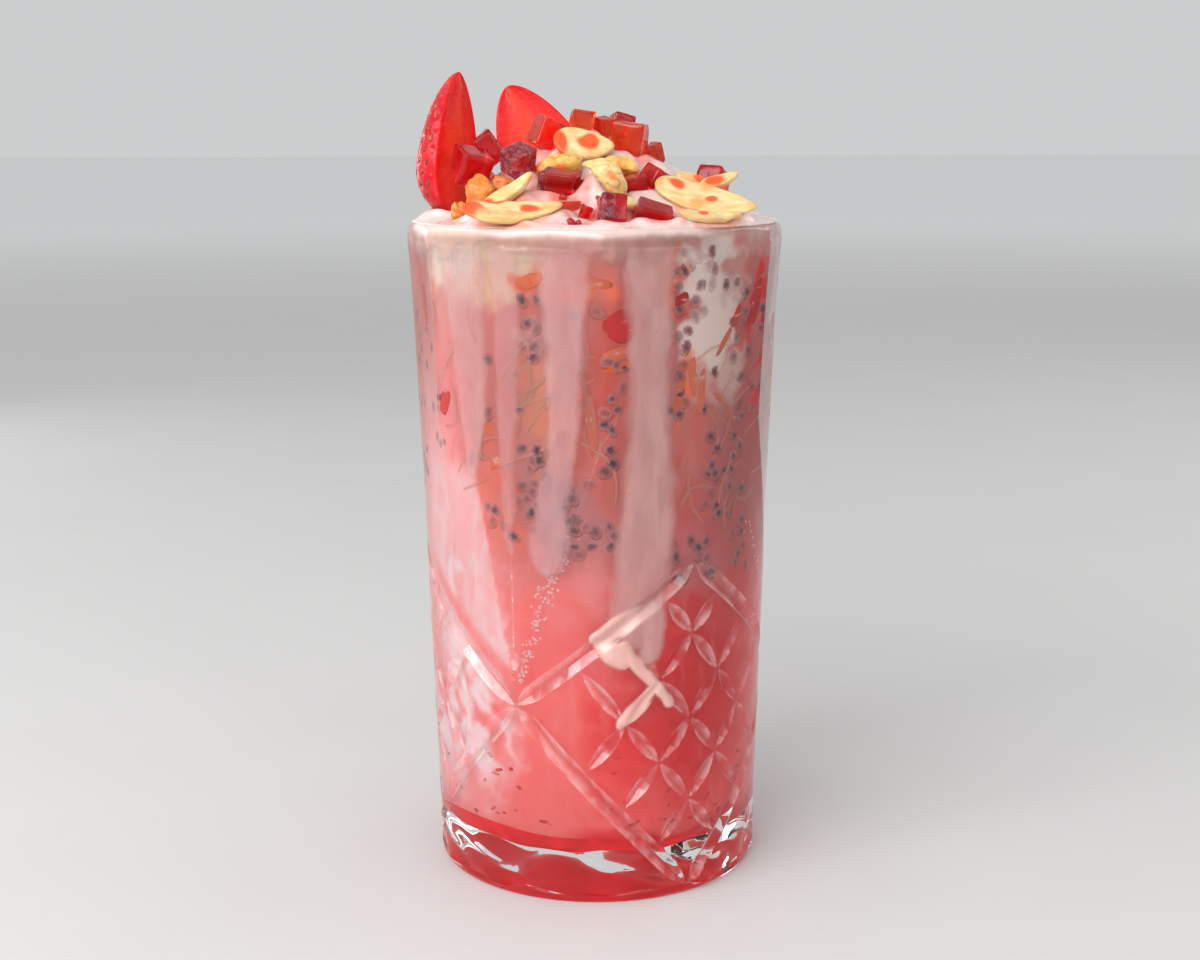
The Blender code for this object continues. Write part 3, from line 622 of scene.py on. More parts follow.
# soft patches on the side: a shade, then bearing, height, half width in degrees, half height, strength, edge
patches = [
    ("blush", (-64, 78, 22, 26, 0.8, 0.8), (-75, 40, 24, 26, 0.85, 0.8), (-50, 34, 14, 18, 0.65, 0.8),
     (-46, 60, 13, 14, 0.7, 0.8), (-62, 84, 14, 14, 0.8, 0.4), (-15, 62, 9, 8, 0.2, 0.9), (4, 52, 6, 5, 0.3, 0.9)),
    ("milkWhite", (-62, 52, 5, 12, 1.0, 0.7), (-52, 45, 4, 8, 0.9, 0.7), (-57, 64, 3, 8, 0.9, 0.6),
     (-42, 42, 4, 5, 0.85, 0.8), (-68, 30, 6, 7, 0.5, 0.7), (-44, 24, 5, 4, 0.3, 0.9), (-58, 36, 4, 4, 0.9, 0.7)),
    ("coral", (-50, 34, 3, 3, 0.6, 0.7)),
    ("milkWhite", (-47, 28, 4, 3, 0.5, 0.8), (-60, 20, 5, 3, 0.4, 0.8)),
    ("coral", (-66, 43, 3, 4, 0.6, 0.8)),
    # deeper red at the right, and darker there partly as painted shade on the side away from the light
    ("deep", (38, 44, 26, 26, 0.9, 0.8), (14, 34, 14, 14, 0.7, 0.9), (55, 60, 14, 12, 0.7, 0.8)),
    ("wineAndShade", (42, 46, 24, 26, 0.8, 0.8)),
    ("deep", (4, 40, 8, 12, 0.5, 0.9), (18, 60, 8, 14, 0.75, 0.6)),
    # painted shade: the right side above the milk, darkened where less light falls
    ("paintedShade", (54, 98, 26, 34, 0.85, 0.7)),
    ("rust", (-2, 106, 9, 16, 0.4, 0.8)),
    ("orange", (-24, 82, 7, 5, 0.5, 0.8), (-37, 90, 7, 5, 0.4, 0.8), (-38, 97, 5, 3, 0.45, 0.7),
     (-36, 78, 5, 4, 0.4, 0.8)),
    ("amber", (-18, 104, 8, 12, 0.6, 0.7), (-14, 96, 5, 7, 0.4, 0.8)),
    ("rust", (-5, 102, 4, 12, 0.6, 0.7), (2, 112, 5, 9, 0.5, 0.7), (7, 122, 8, 8, 0.5, 0.7)),
    ("rose", (-2, 92, 5, 6, 0.5, 0.8)),
    ("milkWhite", (-18, 119, 4, 3, 0.3, 0.6)),
    ("mauve", (-22, 90, 5, 9, 0.7, 0.7), (-10, 88, 5, 4, 0.75, 0.7), (-3, 79, 9, 4, 0.7, 0.8),
     (-14, 81, 8, 7, 0.7, 0.8)),
    ("shadow", (-18, 126, 3, 6, 0.5, 0.6)),
    ("mauve", (36, 72, 12, 6, 0.6, 0.7), (42, 92, 7, 12, 0.4, 0.8), (24, 108, 3, 18, 0.5, 0.8)),
    ("orange", (30, 96, 8, 10, 0.14, 0.8)),
    ("deep", (36, 84, 10, 8, 0.14, 0.8)),
    ("rose", (41, 106, 11, 9, 0.4, 0.8)),
    ("iceCream", (-40, 134, 22, 8, 1.0, 0.35), (-37, 130, 7, 6, 0.85, 0.4)),
    ("vanilla", (-52, 134, 11, 6, 0.9, 0.5), (-54, 126, 9, 8, 0.25, 0.8)),
    ("blush", (-56, 112, 10, 18, 0.4, 0.8)),
    ("shadow", (-15, 121, 5, 6, 0.6, 0.6)),
    ("dusty", (-23, 124, 4, 4, 0.5, 0.6)),
    ("rose", (-62, 126, 8, 7, 0.5, 0.8)),
    ("orange", (-8, 131, 12, 5, 0.35, 0.8)),
    ("cream", (40, 131, 13, 8, 1.0, 0.14), (42, 122, 10, 9, 1.0, 0.14), (35, 118, 7, 6, 1.0, 0.16),
     (30, 134, 6, 4, 0.9, 0.2), (46, 112, 9, 6, 0.5, 0.4), (33, 110, 4, 6, 0.3, 0.5)),
    ("rose", (50, 133, 6, 4, 0.8, 0.3)),
    ("mauve", (46, 129, 4, 4, 0.5, 0.5)),
    ("orange", (22, 131, 3.5, 7, 0.75, 0.4)),
    ("berry", (25, 124.5, 2.5, 2, 0.8, 0.3)),
    ("orange", (31, 110.5, 2.4, 5.5, 0.8, 0.3), (27.5, 107, 1.5, 6, 0.6, 0.3), (-21, 129.5, 4.6, 2.2, 1.0, 0.3),
     (-2, 129, 5.4, 2.2, 0.9, 0.3), (-19, 133, 2.6, 2.6, 0.7, 0.5)),
    ("berry", (62, 128, 2.6, 6, 1.0, 0.2), (58, 121, 1.6, 5, 0.9, 0.2), (66, 118, 1.8, 8, 0.9, 0.2),
     (62, 103, 2.0, 4.5, 0.9, 0.25), (68, 124, 2.2, 4, 0.8, 0.3), (52, 116, 1.4, 3, 0.7, 0.3),
     (-72, 128, 5, 6, 0.4, 0.8), (-48, 108, 3, 5, 0.2, 0.9)),
    ("cream", (100, 124, 22, 10, 0.9, 0.2)),
    ("iceCream", (150, 131, 24, 6, 0.9, 0.4)),
    ("cream", (-120, 128, 16, 9, 0.9, 0.2)),
    ("berry", (175, 108, 6, 7, 0.5, 0.4)),
    ("orange", (-150, 118, 8, 5, 0.6, 0.5), (120, 105, 8, 10, 0.4, 0.7)),
    ("amber", (-100, 100, 10, 10, 0.5, 0.7)),
    ("mauve", (140, 92, 10, 8, 0.5, 0.7), (-170, 88, 12, 8, 0.5, 0.7), (-125, 104, 9, 12, 0.4, 0.8)),
    ("amber", (160, 118, 9, 8, 0.5, 0.7)),
    ("orange", (85, 100, 6, 12, 0.4, 0.7)),
    ("blush", (130, 40, 26, 22, 0.6, 0.8), (-150, 50, 24, 20, 0.6, 0.8)),
    ("milkWhite", (-110, 44, 12, 16, 0.5, 0.9)),
    ("deep", (170, 34, 16, 12, 0.5, 0.8)),
]


# the drink's colour against the glass by height, before the patches
shadeStops = [
    (0, "syrup"), (12.5, "syrup"), (15, "coral"), (26, "coral"), (60, "coral"), (76, "rose"), (92, "dusty"),
    (112, "rose"), (134, "rose"), (145, "cream"),
]


def syrupSurface(bearing, share):
    # height of the syrup: a little higher at the left, with slow waves at the wall
    turn = bearing * degree
    return drink["syrupHeight"] + share * (0.9 * np.sin(turn * 2 + 2.2) - 1.1 * np.sin(turn) + 0.5 * np.sin(turn * 5))


def milkSurface(bearing, share):
    # height of the milk, with slow waves at the wall
    turn = bearing * degree
    return drink["milkHeight"] + share * (1.2 * np.sin(turn * 3 + 0.4) + 0.7 * np.sin(turn * 7 + 1))


def drinkShade(points):
    # colour of the drink against the glass: a slow change with height, then the patches with torn edges, some painted
    # shade
    up, around = points[..., 2], bearingOf(points)
    z = up + 2.2 * ripple(points, 14, 3)
    stops, names = zip(*shadeStops)
    table = np.array([shades[n] for n in names])
    colour = np.stack([np.interp(z, stops, table[:, i]) for i in range(3)], -1)
    swirl = ripple(points * [1, 1, 0.45], 16, 5) + 0.6 * ripple(points * [1, 1, 0.6], 7, 6)
    lift = 0.4 * smoothStep(0.4, 1.6, swirl) * smoothStep(14, 22, z) * (1 - 0.6 * smoothStep(70, 90, z))
    tinge(colour, shades["blush"], lift)
    deep = 0.5 * smoothStep(0.5, 1.7, -swirl) * smoothStep(14, 22, z)
    murk = smoothStep(70, 84, z)[..., None]
    tinge(colour, (1 - murk) * shades["deep"] + murk * shades["shadow"], 0.8 * deep)
    bearing = around + 2.4 * ripple(points, 9, 8) + 1.2 * ripple(points, 3.5, 9)
    height = up + 1.6 * ripple(points, 9, 10) + 0.8 * ripple(points, 3.5, 11)
    for name, *places in patches:
        for b, h, wide, high, strength, edge in places:
            off = np.hypot(aside(bearing, b) / wide, (height - h) / high)
            tinge(colour, shades[name], strength * smoothStep(1 + edge, 1 - edge, off))
    side = smoothStep(-24, -42, bearing) * smoothStep(-100, -80, bearing)
    side = side * smoothStep(20, 34, z) * smoothStep(68, 54, z)
    marble = np.sin(3.2 * ripple(points * [1, 1, 0.5], 15, 15) + 0.9 * ripple(points, 5, 16))
    tinge(colour, shades["milkWhite"], 0.7 * side * smoothStep(0.1, 0.9, marble))
    tinge(colour, shades["coral"], 0.7 * side * smoothStep(-0.3, -0.95, marble))
    streak = 0.5 + 0.5 * np.sin(ripple(points * [1, 1, 0.3], 9, 12) * 2 + 0.3 * (bearing - wedgeEdge(up)))
    tinge(colour, shades["wedge"], wedge(around, up) * (0.9 - 0.5 * streak))
    tinge(colour, shades["coral"], 0.75 * armBand(around, up))
    return behindGlass(colour)


def armBand(bearing, z):
    # 1 in the coral band just above the broad cut that rises to the left from the fan
    turned = glass["fan"] - bearing
    above = z - glass["crossing"] - turned / glass["sector"] * (glass["lozengeTop"] - glass["crossing"])
    across = smoothStep(1.0, 2.0, above) * smoothStep(7.5, 4.0, above)
    return across * smoothStep(1, 5, turned) * smoothStep(50, 38, turned)


def wedgeEdge(z):
    # the line where the petals at the left start, as a bearing for each height
    return np.interp(z, [44, 92], [-29.5, -43.5])


def wedge(bearing, z):
    # 1 inside the pale wedge behind the petals at the left, with a crisp edge at its right
    side = smoothStep(0.4, -0.5, bearing - wedgeEdge(z)) * smoothStep(-78, -66, bearing)
    return side * smoothStep(94, 86, z) * smoothStep(43, 52, z)


def layerSolid(low, high, rows, reach):
    # a layer: its underside, its side pressed into the wall and its top, each ring a row of the grid
    bearing = np.arange(drink["columns"]) * 360 / drink["columns"]
    bottom, top = low(bearing, 1.0), high(bearing, 1.0)
    rings = [(share, low(bearing, share**2)) for share in drink["rings"]]
    rings += [(1, bottom + share * (top - bottom)) for share in np.linspace(0, 1, rows)]
    rings += [(share, high(bearing, share**2)) for share in drink["rings"][::-1]]
    return closedGrid(np.stack([spot(bearing, share * (boreRadius(z) + reach), z) for share, z in rings]))


def level(height):
    # a flat surface
    return lambda bearing, share: np.full(len(bearing), height)


wetIor = 1.1  # glass against drink: their indices divided, so that the boundary hardly reflects


def drinkMaterial():
    # the painted shade with fine streaks and grain, softly lit from inside
    paint = Finish("pink_drink", (0.3, 0.001, (3.2, 1.4, 1.1)), Roughness=0.32, IOR=wetIor)
    streak = paint.noise(5, 4, 0.6, 0.8, scale=(1, 1, 0.4))
    grain = paint.noise(0.9, 2)
    pale = paint.mixed(paint.span(streak, 0.52, 0.8, 0, 0.22), paint.painted(), behindGlass(shades["blush"]))
    dark = paint.mixed(paint.span(streak, 0.48, 0.25, 0, 0.32), pale, behindGlass(shades["deep"]))
    paint.link(paint.mixed(paint.span(grain, 0.62, 0.8, 0, 0.1), dark, behindGlass(shades["berry"])))
    paint.bump(grain, 0.05, 0.3)
    return paint.material


def syrupMaterial():
    # clear red syrup, with a faint glow of its own for the light that passes through the real one from behind
    paint = Finish("rose_syrup", (0.8, 0.001, (8.0, 0.6, 0.7)), Roughness=0.03, IOR=wetIor, Emission_Strength=0.3)
    cloud = paint.spots(8, 3, 0.3, 0.7, rough=0.5, warp=0.5)
    paint.link(paint.mixed(cloud, tone(214, 2, 10), tone(238, 30, 42)))
    paint.link(paint.mixed(cloud, tone(200, 0, 8), tone(250, 12, 30)), "Emission Color")
    paint.bump(paint.noise(5, 2), 0.2, 0.5)
    return paint.material


def makeLayers():
    # syrup, milk and falooda, each from the surface below it to its own
    def syrupTop(bearing, share):  # a little way into the milk, so that no gap shows between them
        return syrupSurface(bearing, share) + drink["overlap"]

    floor = level(glass["floor"] - drink["reach"])
    points, faces = layerSolid(floor, syrupTop, drink["syrupRows"], drink["syrupReach"])
    makePiece("syrup_layer", points, faces, syrupMaterial(), ["syrup"], None, creaseAngle)
    pink = drinkMaterial()
    top = level(drink["creamFoot"])
    for name, slot, low, high, rows in (
        ("milk_layer", "rose_milk", syrupSurface, milkSurface, drink["milkRows"]),
        ("falooda_layer", "falooda", milkSurface, top, drink["faloodaRows"]),
    ):
        points, faces = layerSolid(low, high, rows, drink["reach"])
        makePiece(name, points, faces, pink, [slot], {"shade": drinkShade(points)}, creaseAngle)


makeLayers()

seedStyle = {"size": 3.0, "flat": 0.2, "around": 14, "seed": 21, "gap": 1.42, "top": 136.4, "astray": (0.4, 0.3)}
# bearing and height of the seeds that stand apart in front
seedSpots = [
    (-23, 126), (-17, 126), (-21, 122), (-18, 121), (-23, 117), (-5, 127), (-6, 124), (0, 124), (3, 114), (9, 113),
    (8, 109), (5, 107), (-36, 103), (-25, 104), (-35, 114), (4, 97), (3, 92), (5, 94), (-2, 90), (-36, 81), (-31, 80),
    (-7, 80), (0, 80), (-1, 77), (5, 77), (27, 135), (32, 135), (36, 136), (36, 133), (25, 132), (28, 132), (26, 129),
    (26, 124), (32, 126), (32, 123), (44, 129), (49, 129), (48, 121), (54, 120), (26, 119), (29, 117), (28, 113),
    (27, 111), (40, 111), (36, 104), (28, 103), (54, 104), (55, 101), (40, 98), (43, 95), (41, 92), (39, 90), (41, 87),
    (39, 84), (43, 83), (55, 95), (51, 93), (33, 77), (39, 73), (31, 69), (61, 69),
]
# crowds of seeds: bearing, height, half width, half height, how many
seedCrowds = [
    (-22, 90, 4, 7, 20), (-15, 86, 6, 6, 16), (-9, 88, 4, 3, 7), (-3, 79, 9, 4, 16), (3, 106, 4, 9, 10),
    (-20, 119, 4, 4, 6), (32, 129, 7, 6, 12), (27, 113, 3, 9, 8), (52, 118, 6, 12, 8), (54, 86, 6, 14, 12),
    (-33, 81, 6, 4, 4), (35, 72, 10, 5, 12), (44, 88, 6, 9, 7), (66, 110, 6, 14, 8), (58, 75, 8, 6, 5),
    (95, 108, 22, 24, 46), (140, 112, 22, 20, 52), (-178, 96, 22, 22, 46), (-135, 110, 20, 20, 44),
    (-95, 104, 16, 20, 30), (-66, 108, 8, 16, 7), (115, 80, 14, 8, 16), (-150, 84, 18, 8, 18),
]


def wallFrame(bearing):
    # outward and across directions at a bearing
    turn = bearing * degree
    return np.stack([np.sin(turn), -np.cos(turn), 0 * turn], -1), np.stack([np.cos(turn), np.sin(turn), 0 * turn], -1)


def seedPlaces(rng):
    # the seeds that stand apart, then each crowd; one that would lie on another is left out
    across, up = seedStyle["astray"]
    wanted = [(b + rng.normal(0, across), z + rng.normal(0, up)) for b, z in seedSpots]
    for b, z, wide, tall, count in seedCrowds:
        wanted += [(b + wide * rng.uniform(-1, 1), z + tall * rng.uniform(-1, 1)) for _ in range(count)]
    placed = []
    for b, z in wanted:
        gaps = [math.hypot(aside(b, p[0]) * boreDegree, z - p[1]) for p in placed]
        if min(gaps, default=9) > seedStyle["gap"] and z < seedStyle["top"]:
            placed.append((b, z))
    return np.array(placed)


# the rings of a lens from its top to its back: distance from the middle and height; and how far past the bore its
# middle lies, and how far the whole of it is drawn back
domeRings = [(0.3, 1.0), (0.48, 0.93), (0.78, 0.72), (1.0, 0.1), (0.7, -0.8)]
domePlace = {"past": 0.2, "back": 0.06}


def wallDomes(name, material, slot, style, places, size, longer, slant, **values):
    # one piece of small lenses against the wall: rings at growing distance from each middle, then the back
    def each(numbers):  # a number for each lens, spread over its rings and columns
        return numbers[:, None, None]

    rings = np.array(domeRings[style.get("skip", 0):])
    angle = anglesRound(style["around"])
    a = np.cos(angle) * rings[:, :1] * each(size * longer)
    b = np.sin(angle) * rings[:, :1] * each(size / longer**0.5)
    u, v = swung(a, b, each(slant))
    radius = boreRadius(places[:, 1])
    lift = rings[:, 1:] * each(size * style["flat"]) - domePlace["back"] - u**2 / (2 * each(radius))
    out, across = wallFrame(places[:, 0])
    centre = spot(places[:, 0], radius + domePlace["past"], places[:, 1])
    grid = each(centre) + u[..., None] * each(across) + v[..., None] * [0, 0, 1] + lift[..., None] * each(out)
    distance = np.append(np.repeat(rings[:, 0], len(angle)), [0.0, 0.6])
    parts = Builder()
    for i, (one, behind) in enumerate(zip(grid, drinkShade(grid))):
        points, faces = closedGrid(one, flip=True)
        shade = np.concatenate([behind.reshape(-1, 3), behind[0, :1], behind[-1, -1:]])
        parts.add(points, faces, away=distance, shade=shade, **{key: value[i] for key, value in values.items()})
    parts.piece(name, material)


def makeSeeds(material):
    # some seeds lie deeper and show less: their veil is lower
    rng = np.random.default_rng(seedStyle["seed"])
    places = seedPlaces(rng)
    count = len(places)
    size = seedStyle["size"] / 2 * rng.uniform(0.82, 1.12, count)
    longer = rng.uniform(1.0, 1.3, count)
    slant = rng.uniform(0, np.pi, count)
    veil = 1 - 0.6 * rng.uniform(0, 1, count) ** 1.6
    wallDomes("basil_seeds", material, "falooda", seedStyle, places, size, longer, slant,
              tint=rng.uniform(0, 1, count), veil=veil)


def seedMaterial():
    # a dark seed in a grey-mauve jelly coat that fades into the drink around it
    paint = Finish("swollen_seed", Roughness=0.22, IOR=wetIor)
    away = paint.maths("ADD", paint.value("away"), paint.spots(0.7, 2, 0.3, 0.7, -0.16, 0.16))
    coat = paint.mixed(paint.value("tint"), wetTone(116, 66, 70), wetTone(144, 90, 92))
    heart = paint.mixed(paint.value("tint"), wetTone(44, 22, 30), wetTone(82, 48, 54))
    core = paint.mixed(paint.span(away, 0.15, 0.66), heart, coat)
    share = paint.maths("MULTIPLY", paint.span(away, 1.08, 0.52), paint.value("veil"))
    paint.link(paint.mixed(share, paint.painted(), core))
    return paint.material


makeSeeds(seedMaterial())

# a band of bubbles beside the fan's middle: bearing, height and half width of its upper and its lower end
froth = {
    "from": (-9.5, 80, 3.2), "to": (-28, 47, 1.2), "count": 260, "size": (0.18, 0.44), "around": 8, "flat": 0.5,
    "skip": 2, "seed": 9, "others": ((60, 79, 92, 50), (150, 80, 176, 48), (-92, 82, -62, 50)),
}


def makeFroth(material):
    # bubbles strewn about a line that narrows downwards, and fewer about three more lines round the glass
    rng = np.random.default_rng(froth["seed"])
    t = rng.uniform(0, 1, froth["count"]) ** 0.9
    high, low = np.array(froth["from"]), np.array(froth["to"])
    middle = high + t[:, None] * (low - high)
    places = middle[:, :2] + rng.normal(0, 0.5, (len(t), 2)) * middle[:, 2:] * [1 / glass["degreeLength"], 0.4]
    for b0, z0, b1, z1 in froth["others"]:
        t = rng.uniform(0, 1, froth["count"] // 3)[:, None]
        more = np.array([b0, z0]) + t * np.array([b1 - b0, z1 - z0])
        places = np.concatenate([places, more + rng.normal(0, 0.9, more.shape)])
    count = len(places)
    size = rng.uniform(*froth["size"], count)
    wallDomes("milk_froth", material, "rose_milk", froth, places, size, np.ones(count), np.zeros(count),
              tint=rng.uniform(0, 1, count))


def frothMaterial():
    # each bubble pale in its middle and the drink's own colour at its edge
    paint = Finish("milk_bubbles", (0.2, 0.0006), Roughness=0.12, IOR=1.25)
    pale = paint.mixed(paint.value("tint"), wetTone(246, 156, 150), wetTone(250, 186, 180))
    bubble = paint.mixed(paint.span(paint.value("away"), 1.0, 0.6, 0.05, 0.8), paint.painted(), pale)
    paint.link(paint.mixed(paint.spots(0.8, 2, 0.5, 0.7, 0, 0.3), bubble, behindGlass(shades["deep"])))
    return paint.material


makeFroth(frothMaterial())

specks = {
    "count": 130, "low": 15.5, "high": 34.0, "size": (0.3, 0.75), "around": 10, "flat": 0.3, "skip": 1, "seed": 17,
}


def makeSpecks(material):
    # small red shreds in the milk, most of them low down, just above the syrup
    rng = np.random.default_rng(specks["seed"])
    z = specks["low"] + (specks["high"] - specks["low"]) * rng.uniform(0, 1, specks["count"]) ** 1.8
    places = np.stack([rng.uniform(-180, 180, len(z)), z], -1)
    size = rng.uniform(*specks["size"], len(z))
    longer = rng.uniform(1.2, 2.2, len(z))
    slant = rng.uniform(-0.5, 0.9, len(z))
    veil = rng.uniform(0.4, 1, len(z))
    wallDomes("red_specks", material, "rose_milk", specks, places, size, longer, slant, veil=veil)


def speckMaterial():
    # red of two depths, faded into the drink at the edge
    paint = Finish("red_shreds", (0.3, 0.0008), Roughness=0.2, IOR=wetIor)
    red = paint.mixed(paint.spots(1.5, 2, 0.35, 0.65), wetTone(150, 14, 20), wetTone(205, 40, 38))
    share = paint.maths("MULTIPLY", paint.span(paint.value("away"), 1.02, 0.6), paint.value("veil"))
    paint.link(paint.mixed(share, paint.painted(), red))
    return paint.material


makeSpecks(speckMaterial())

strandStyle = {"radius": 0.62, "around": 12, "along": 24, "seed": 5, "outer": 0.5, "low": 74, "high": 133}
# heaps of vermicelli: bearing, height, half width, half height, how many, how upright (0 lying, 1 upright)
strandHeaps = [
    (-18, 106, 8, 11, 15, 0.55), (-38, 96, 6, 8, 8, 0.4), (0, 103, 7, 13, 8, 0.8), (46, 108, 10, 9, 9, 0.4),
    (52, 92, 7, 12, 8, 0.6), (32, 92, 7, 9, 4, 0.6), (-58, 112, 8, 12, 5, 0.7), (90, 106, 24, 22, 18, 0.5),
    (140, 104, 24, 22, 20, 0.5), (-175, 108, 22, 20, 18, 0.5), (-130, 104, 22, 22, 18, 0.5), (-92, 110, 14, 18, 9, 0.5),
]


def tubeAlong(path, radius, around, outward):
    # a tube along a path, drawn in at both ends; outward is a direction that isn't along the path
    along = np.gradient(path, axis=0)
    along /= np.linalg.norm(along, axis=1, keepdims=True)
    side = np.cross(along, outward)
    side /= np.linalg.norm(side, axis=1, keepdims=True)
    over = np.cross(side, along)
    angle = anglesRound(around)
    t = np.linspace(0, 1, len(path))
    taper = np.sqrt(np.clip(np.minimum(t, 1 - t) * 14 + 0.08, 0, 1))
    swing = np.cos(angle)[None, :, None] * side[:, None] + np.sin(angle)[None, :, None] * over[:, None]
    return path[:, None] + (radius * taper)[:, None, None] * swing


def makeStrands(material):
    # each strand is a bow on the wall that dives into the cream at both ends
    style = strandStyle
    rng = np.random.default_rng(style["seed"])
    parts = Builder()
    t = np.linspace(-1, 1, style["along"])
    for b, z, wide, tall, count, upright in strandHeaps:
        for _ in range(count):
            heading = np.pi / 2 * upright + rng.normal(0, 0.55)
            half, bow = rng.uniform(5, 11), rng.normal(0, 3.2)
            u, v = swung(half * t, bow * (1 - t**2), heading)
            bearing = b + wide * rng.uniform(-1, 1) + u / boreDegree
            height = np.clip(z + tall * rng.uniform(-1, 1) + v, style["low"], style["high"])
            radius = style["radius"] * rng.uniform(0.8, 1.2)
            dive = 1.2 * np.abs(t) ** 5 + rng.uniform(0.0, 0.16)
            path = spot(bearing, boreRadius(height) + style["outer"] - radius - dive, height)
            points, faces = closedGrid(tubeAlong(path, radius, style["around"], wallFrame(bearing)[0]))
            proud = np.hypot(points[:, 0], points[:, 1]) - boreRadius(points[:, 2]) - drink["reach"]
            parts.add(points, faces, tint=rng.uniform(0, 1), proud=proud, shade=drinkShade(points))
    parts.piece("vermicelli", material)


def strandMaterial():
    # soaked in the drink's colour, with a darker line where a strand leaves the wall
    paint = Finish("vermicelli", (0.4, 0.001, (2.4, 1.2, 0.8)), Roughness=0.25, IOR=wetIor)
    base = paint.mixed(paint.value("tint"), wetTone(210, 138, 116), wetTone(198, 116, 100))
    soaked = paint.mixed(paint.spots(7, 2, 0.45, 0.7, 0, 0.5), base, wetTone(222, 112, 84))
    body = paint.mixed(0.3, paint.painted(), soaked)
    outline = paint.span(paint.value("proud"), 0.13, 0.02, 0, 0.4)
    paint.link(paint.mixed(outline, body, wetTone(190, 84, 58)))
    paint.bump(paint.noise(1.2, 2), 0.05, 0.3)
    return paint.material


makeStrands(strandMaterial())

# bits of fruit and jelly against the wall: bearing, height, width, tallness, slant, shade
fruitBits = [
    (9, 121.5, 6.4, 7.0, 40, "ruby"), (8, 116, 7.0, 2.6, 15, "rust"), (6.5, 113, 6.0, 1.5, 22, "orange"),
    (-20, 130, 6.0, 2.6, 8, "orange"), (-2, 130, 7.0, 2.4, -4, "orange"),
    (-6, 111, 2.2, 9.0, 12, "red"), (-1, 101, 2.4, 12.0, 8, "rust"), (-8, 97, 2.0, 9.0, 20, "rust"),
    (27, 107, 1.6, 7.0, -8, "rust"), (32, 111, 1.6, 8.0, 4, "rust"), (35, 108, 1.4, 8.0, 0, "rust"),
    (44, 117, 1.2, 7.0, -40, "rust"), (46, 104, 1.2, 10.0, 48, "rust"), (27, 126.5, 3.2, 2.0, 30, "dark"),
    (60, 124, 3.0, 9.0, -20, "dark"), (68, 119, 2.4, 8.0, 10, "dark"), (72, 104, 2.6, 7.0, 0, "dark"),
    (50, 122, 2.2, 5.0, -30, "red"), (-36, 100, 2.8, 2.0, 0, "orange"), (-34, 93, 3.6, 2.4, 20, "orange"),
    (-70, 124, 3.6, 7.0, 10, "red"), (-58, 104, 3.0, 5.0, -20, "red"), (12, 86, 3.4, 4.6, 30, "red"),
    (88, 118, 5.0, 6.0, 20, "red"), (104, 98, 4.0, 8.0, -30, "rust"), (126, 122, 6.0, 5.0, 10, "orange"),
    (142, 92, 5.0, 4.4, 50, "red"), (164, 118, 5.6, 6.4, 30, "red"), (-172, 100, 3.0, 9.0, 20, "rust"),
    (-150, 124, 6.0, 5.0, -16, "dark"), (-134, 96, 5.0, 5.4, 40, "red"), (-112, 118, 4.0, 7.4, -10, "orange"),
    (-96, 88, 3.0, 6.0, 30, "red"), (-84, 106, 3.4, 6.0, 0, "rust"), (112, 82, 5.0, 4.0, 0, "red"),
]
bitShades = {
    "ruby": tone(184, 24, 26), "red": tone(200, 48, 36), "orange": tone(238, 84, 44), "rust": tone(202, 84, 60),
    "dark": tone(160, 10, 14),
}
bitStyle = {"seed": 13, "rows": 11, "columns": 20, "boxy": 0.62, "lump": 0.22, "thick": 0.9, "press": 0.42}


def makeFruitBits(material):
    # each bit is a rounded block: a ball pulled towards a box, with one face against the wall
    style = bitStyle
    rng = np.random.default_rng(style["seed"])
    parts = Builder()
    ball = ballPoints(np.linspace(6, 174, style["rows"]) * degree, anglesRound(style["columns"]))
    for b, z, wide, tall, slant, name in fruitBits:
        box = np.sign(ball) * np.abs(ball) ** style["boxy"]
        box *= 1 + style["lump"] * ripple(box, 1.9, int(rng.integers(1000)))[..., None]
        u, v = swung(box[..., 0] * wide / 2, box[..., 1] * tall / 2, slant * degree)
        w = box[..., 2] * style["thick"]
        radius = boreRadius(z + v) + np.minimum(w, style["press"]) - 0.04 + 0.02 * w
        points, faces = closedGrid(spot(b + u / boreDegree, radius, z + v))
        parts.add(points, faces, shade=behindGlass(bitShades[name] * rng.uniform(0.85, 1.1)))
    parts.piece("fruit_bits", material)


def bitMaterial():
    # worn pale in streaks and deep red in blots
    paint = Finish("soaked_fruit", (0.35, 0.001, (3.0, 0.8, 0.5)), Roughness=0.16, IOR=wetIor)
    streaks = paint.spots(2.2, 3, 0.6, 0.72, 0, 0.6, scale=(0.5, 0.5, 1.6))
    worn = paint.mixed(streaks, paint.painted(), wetTone(232, 170, 150))
    paint.link(paint.mixed(paint.spots(3.4, 2, 0.55, 0.75, 0, 0.35), worn, wetTone(180, 20, 16)))
    paint.bump(paint.noise(1.0, 3), 0.12, 0.4)
    return paint.material


makeFruitBits(bitMaterial())

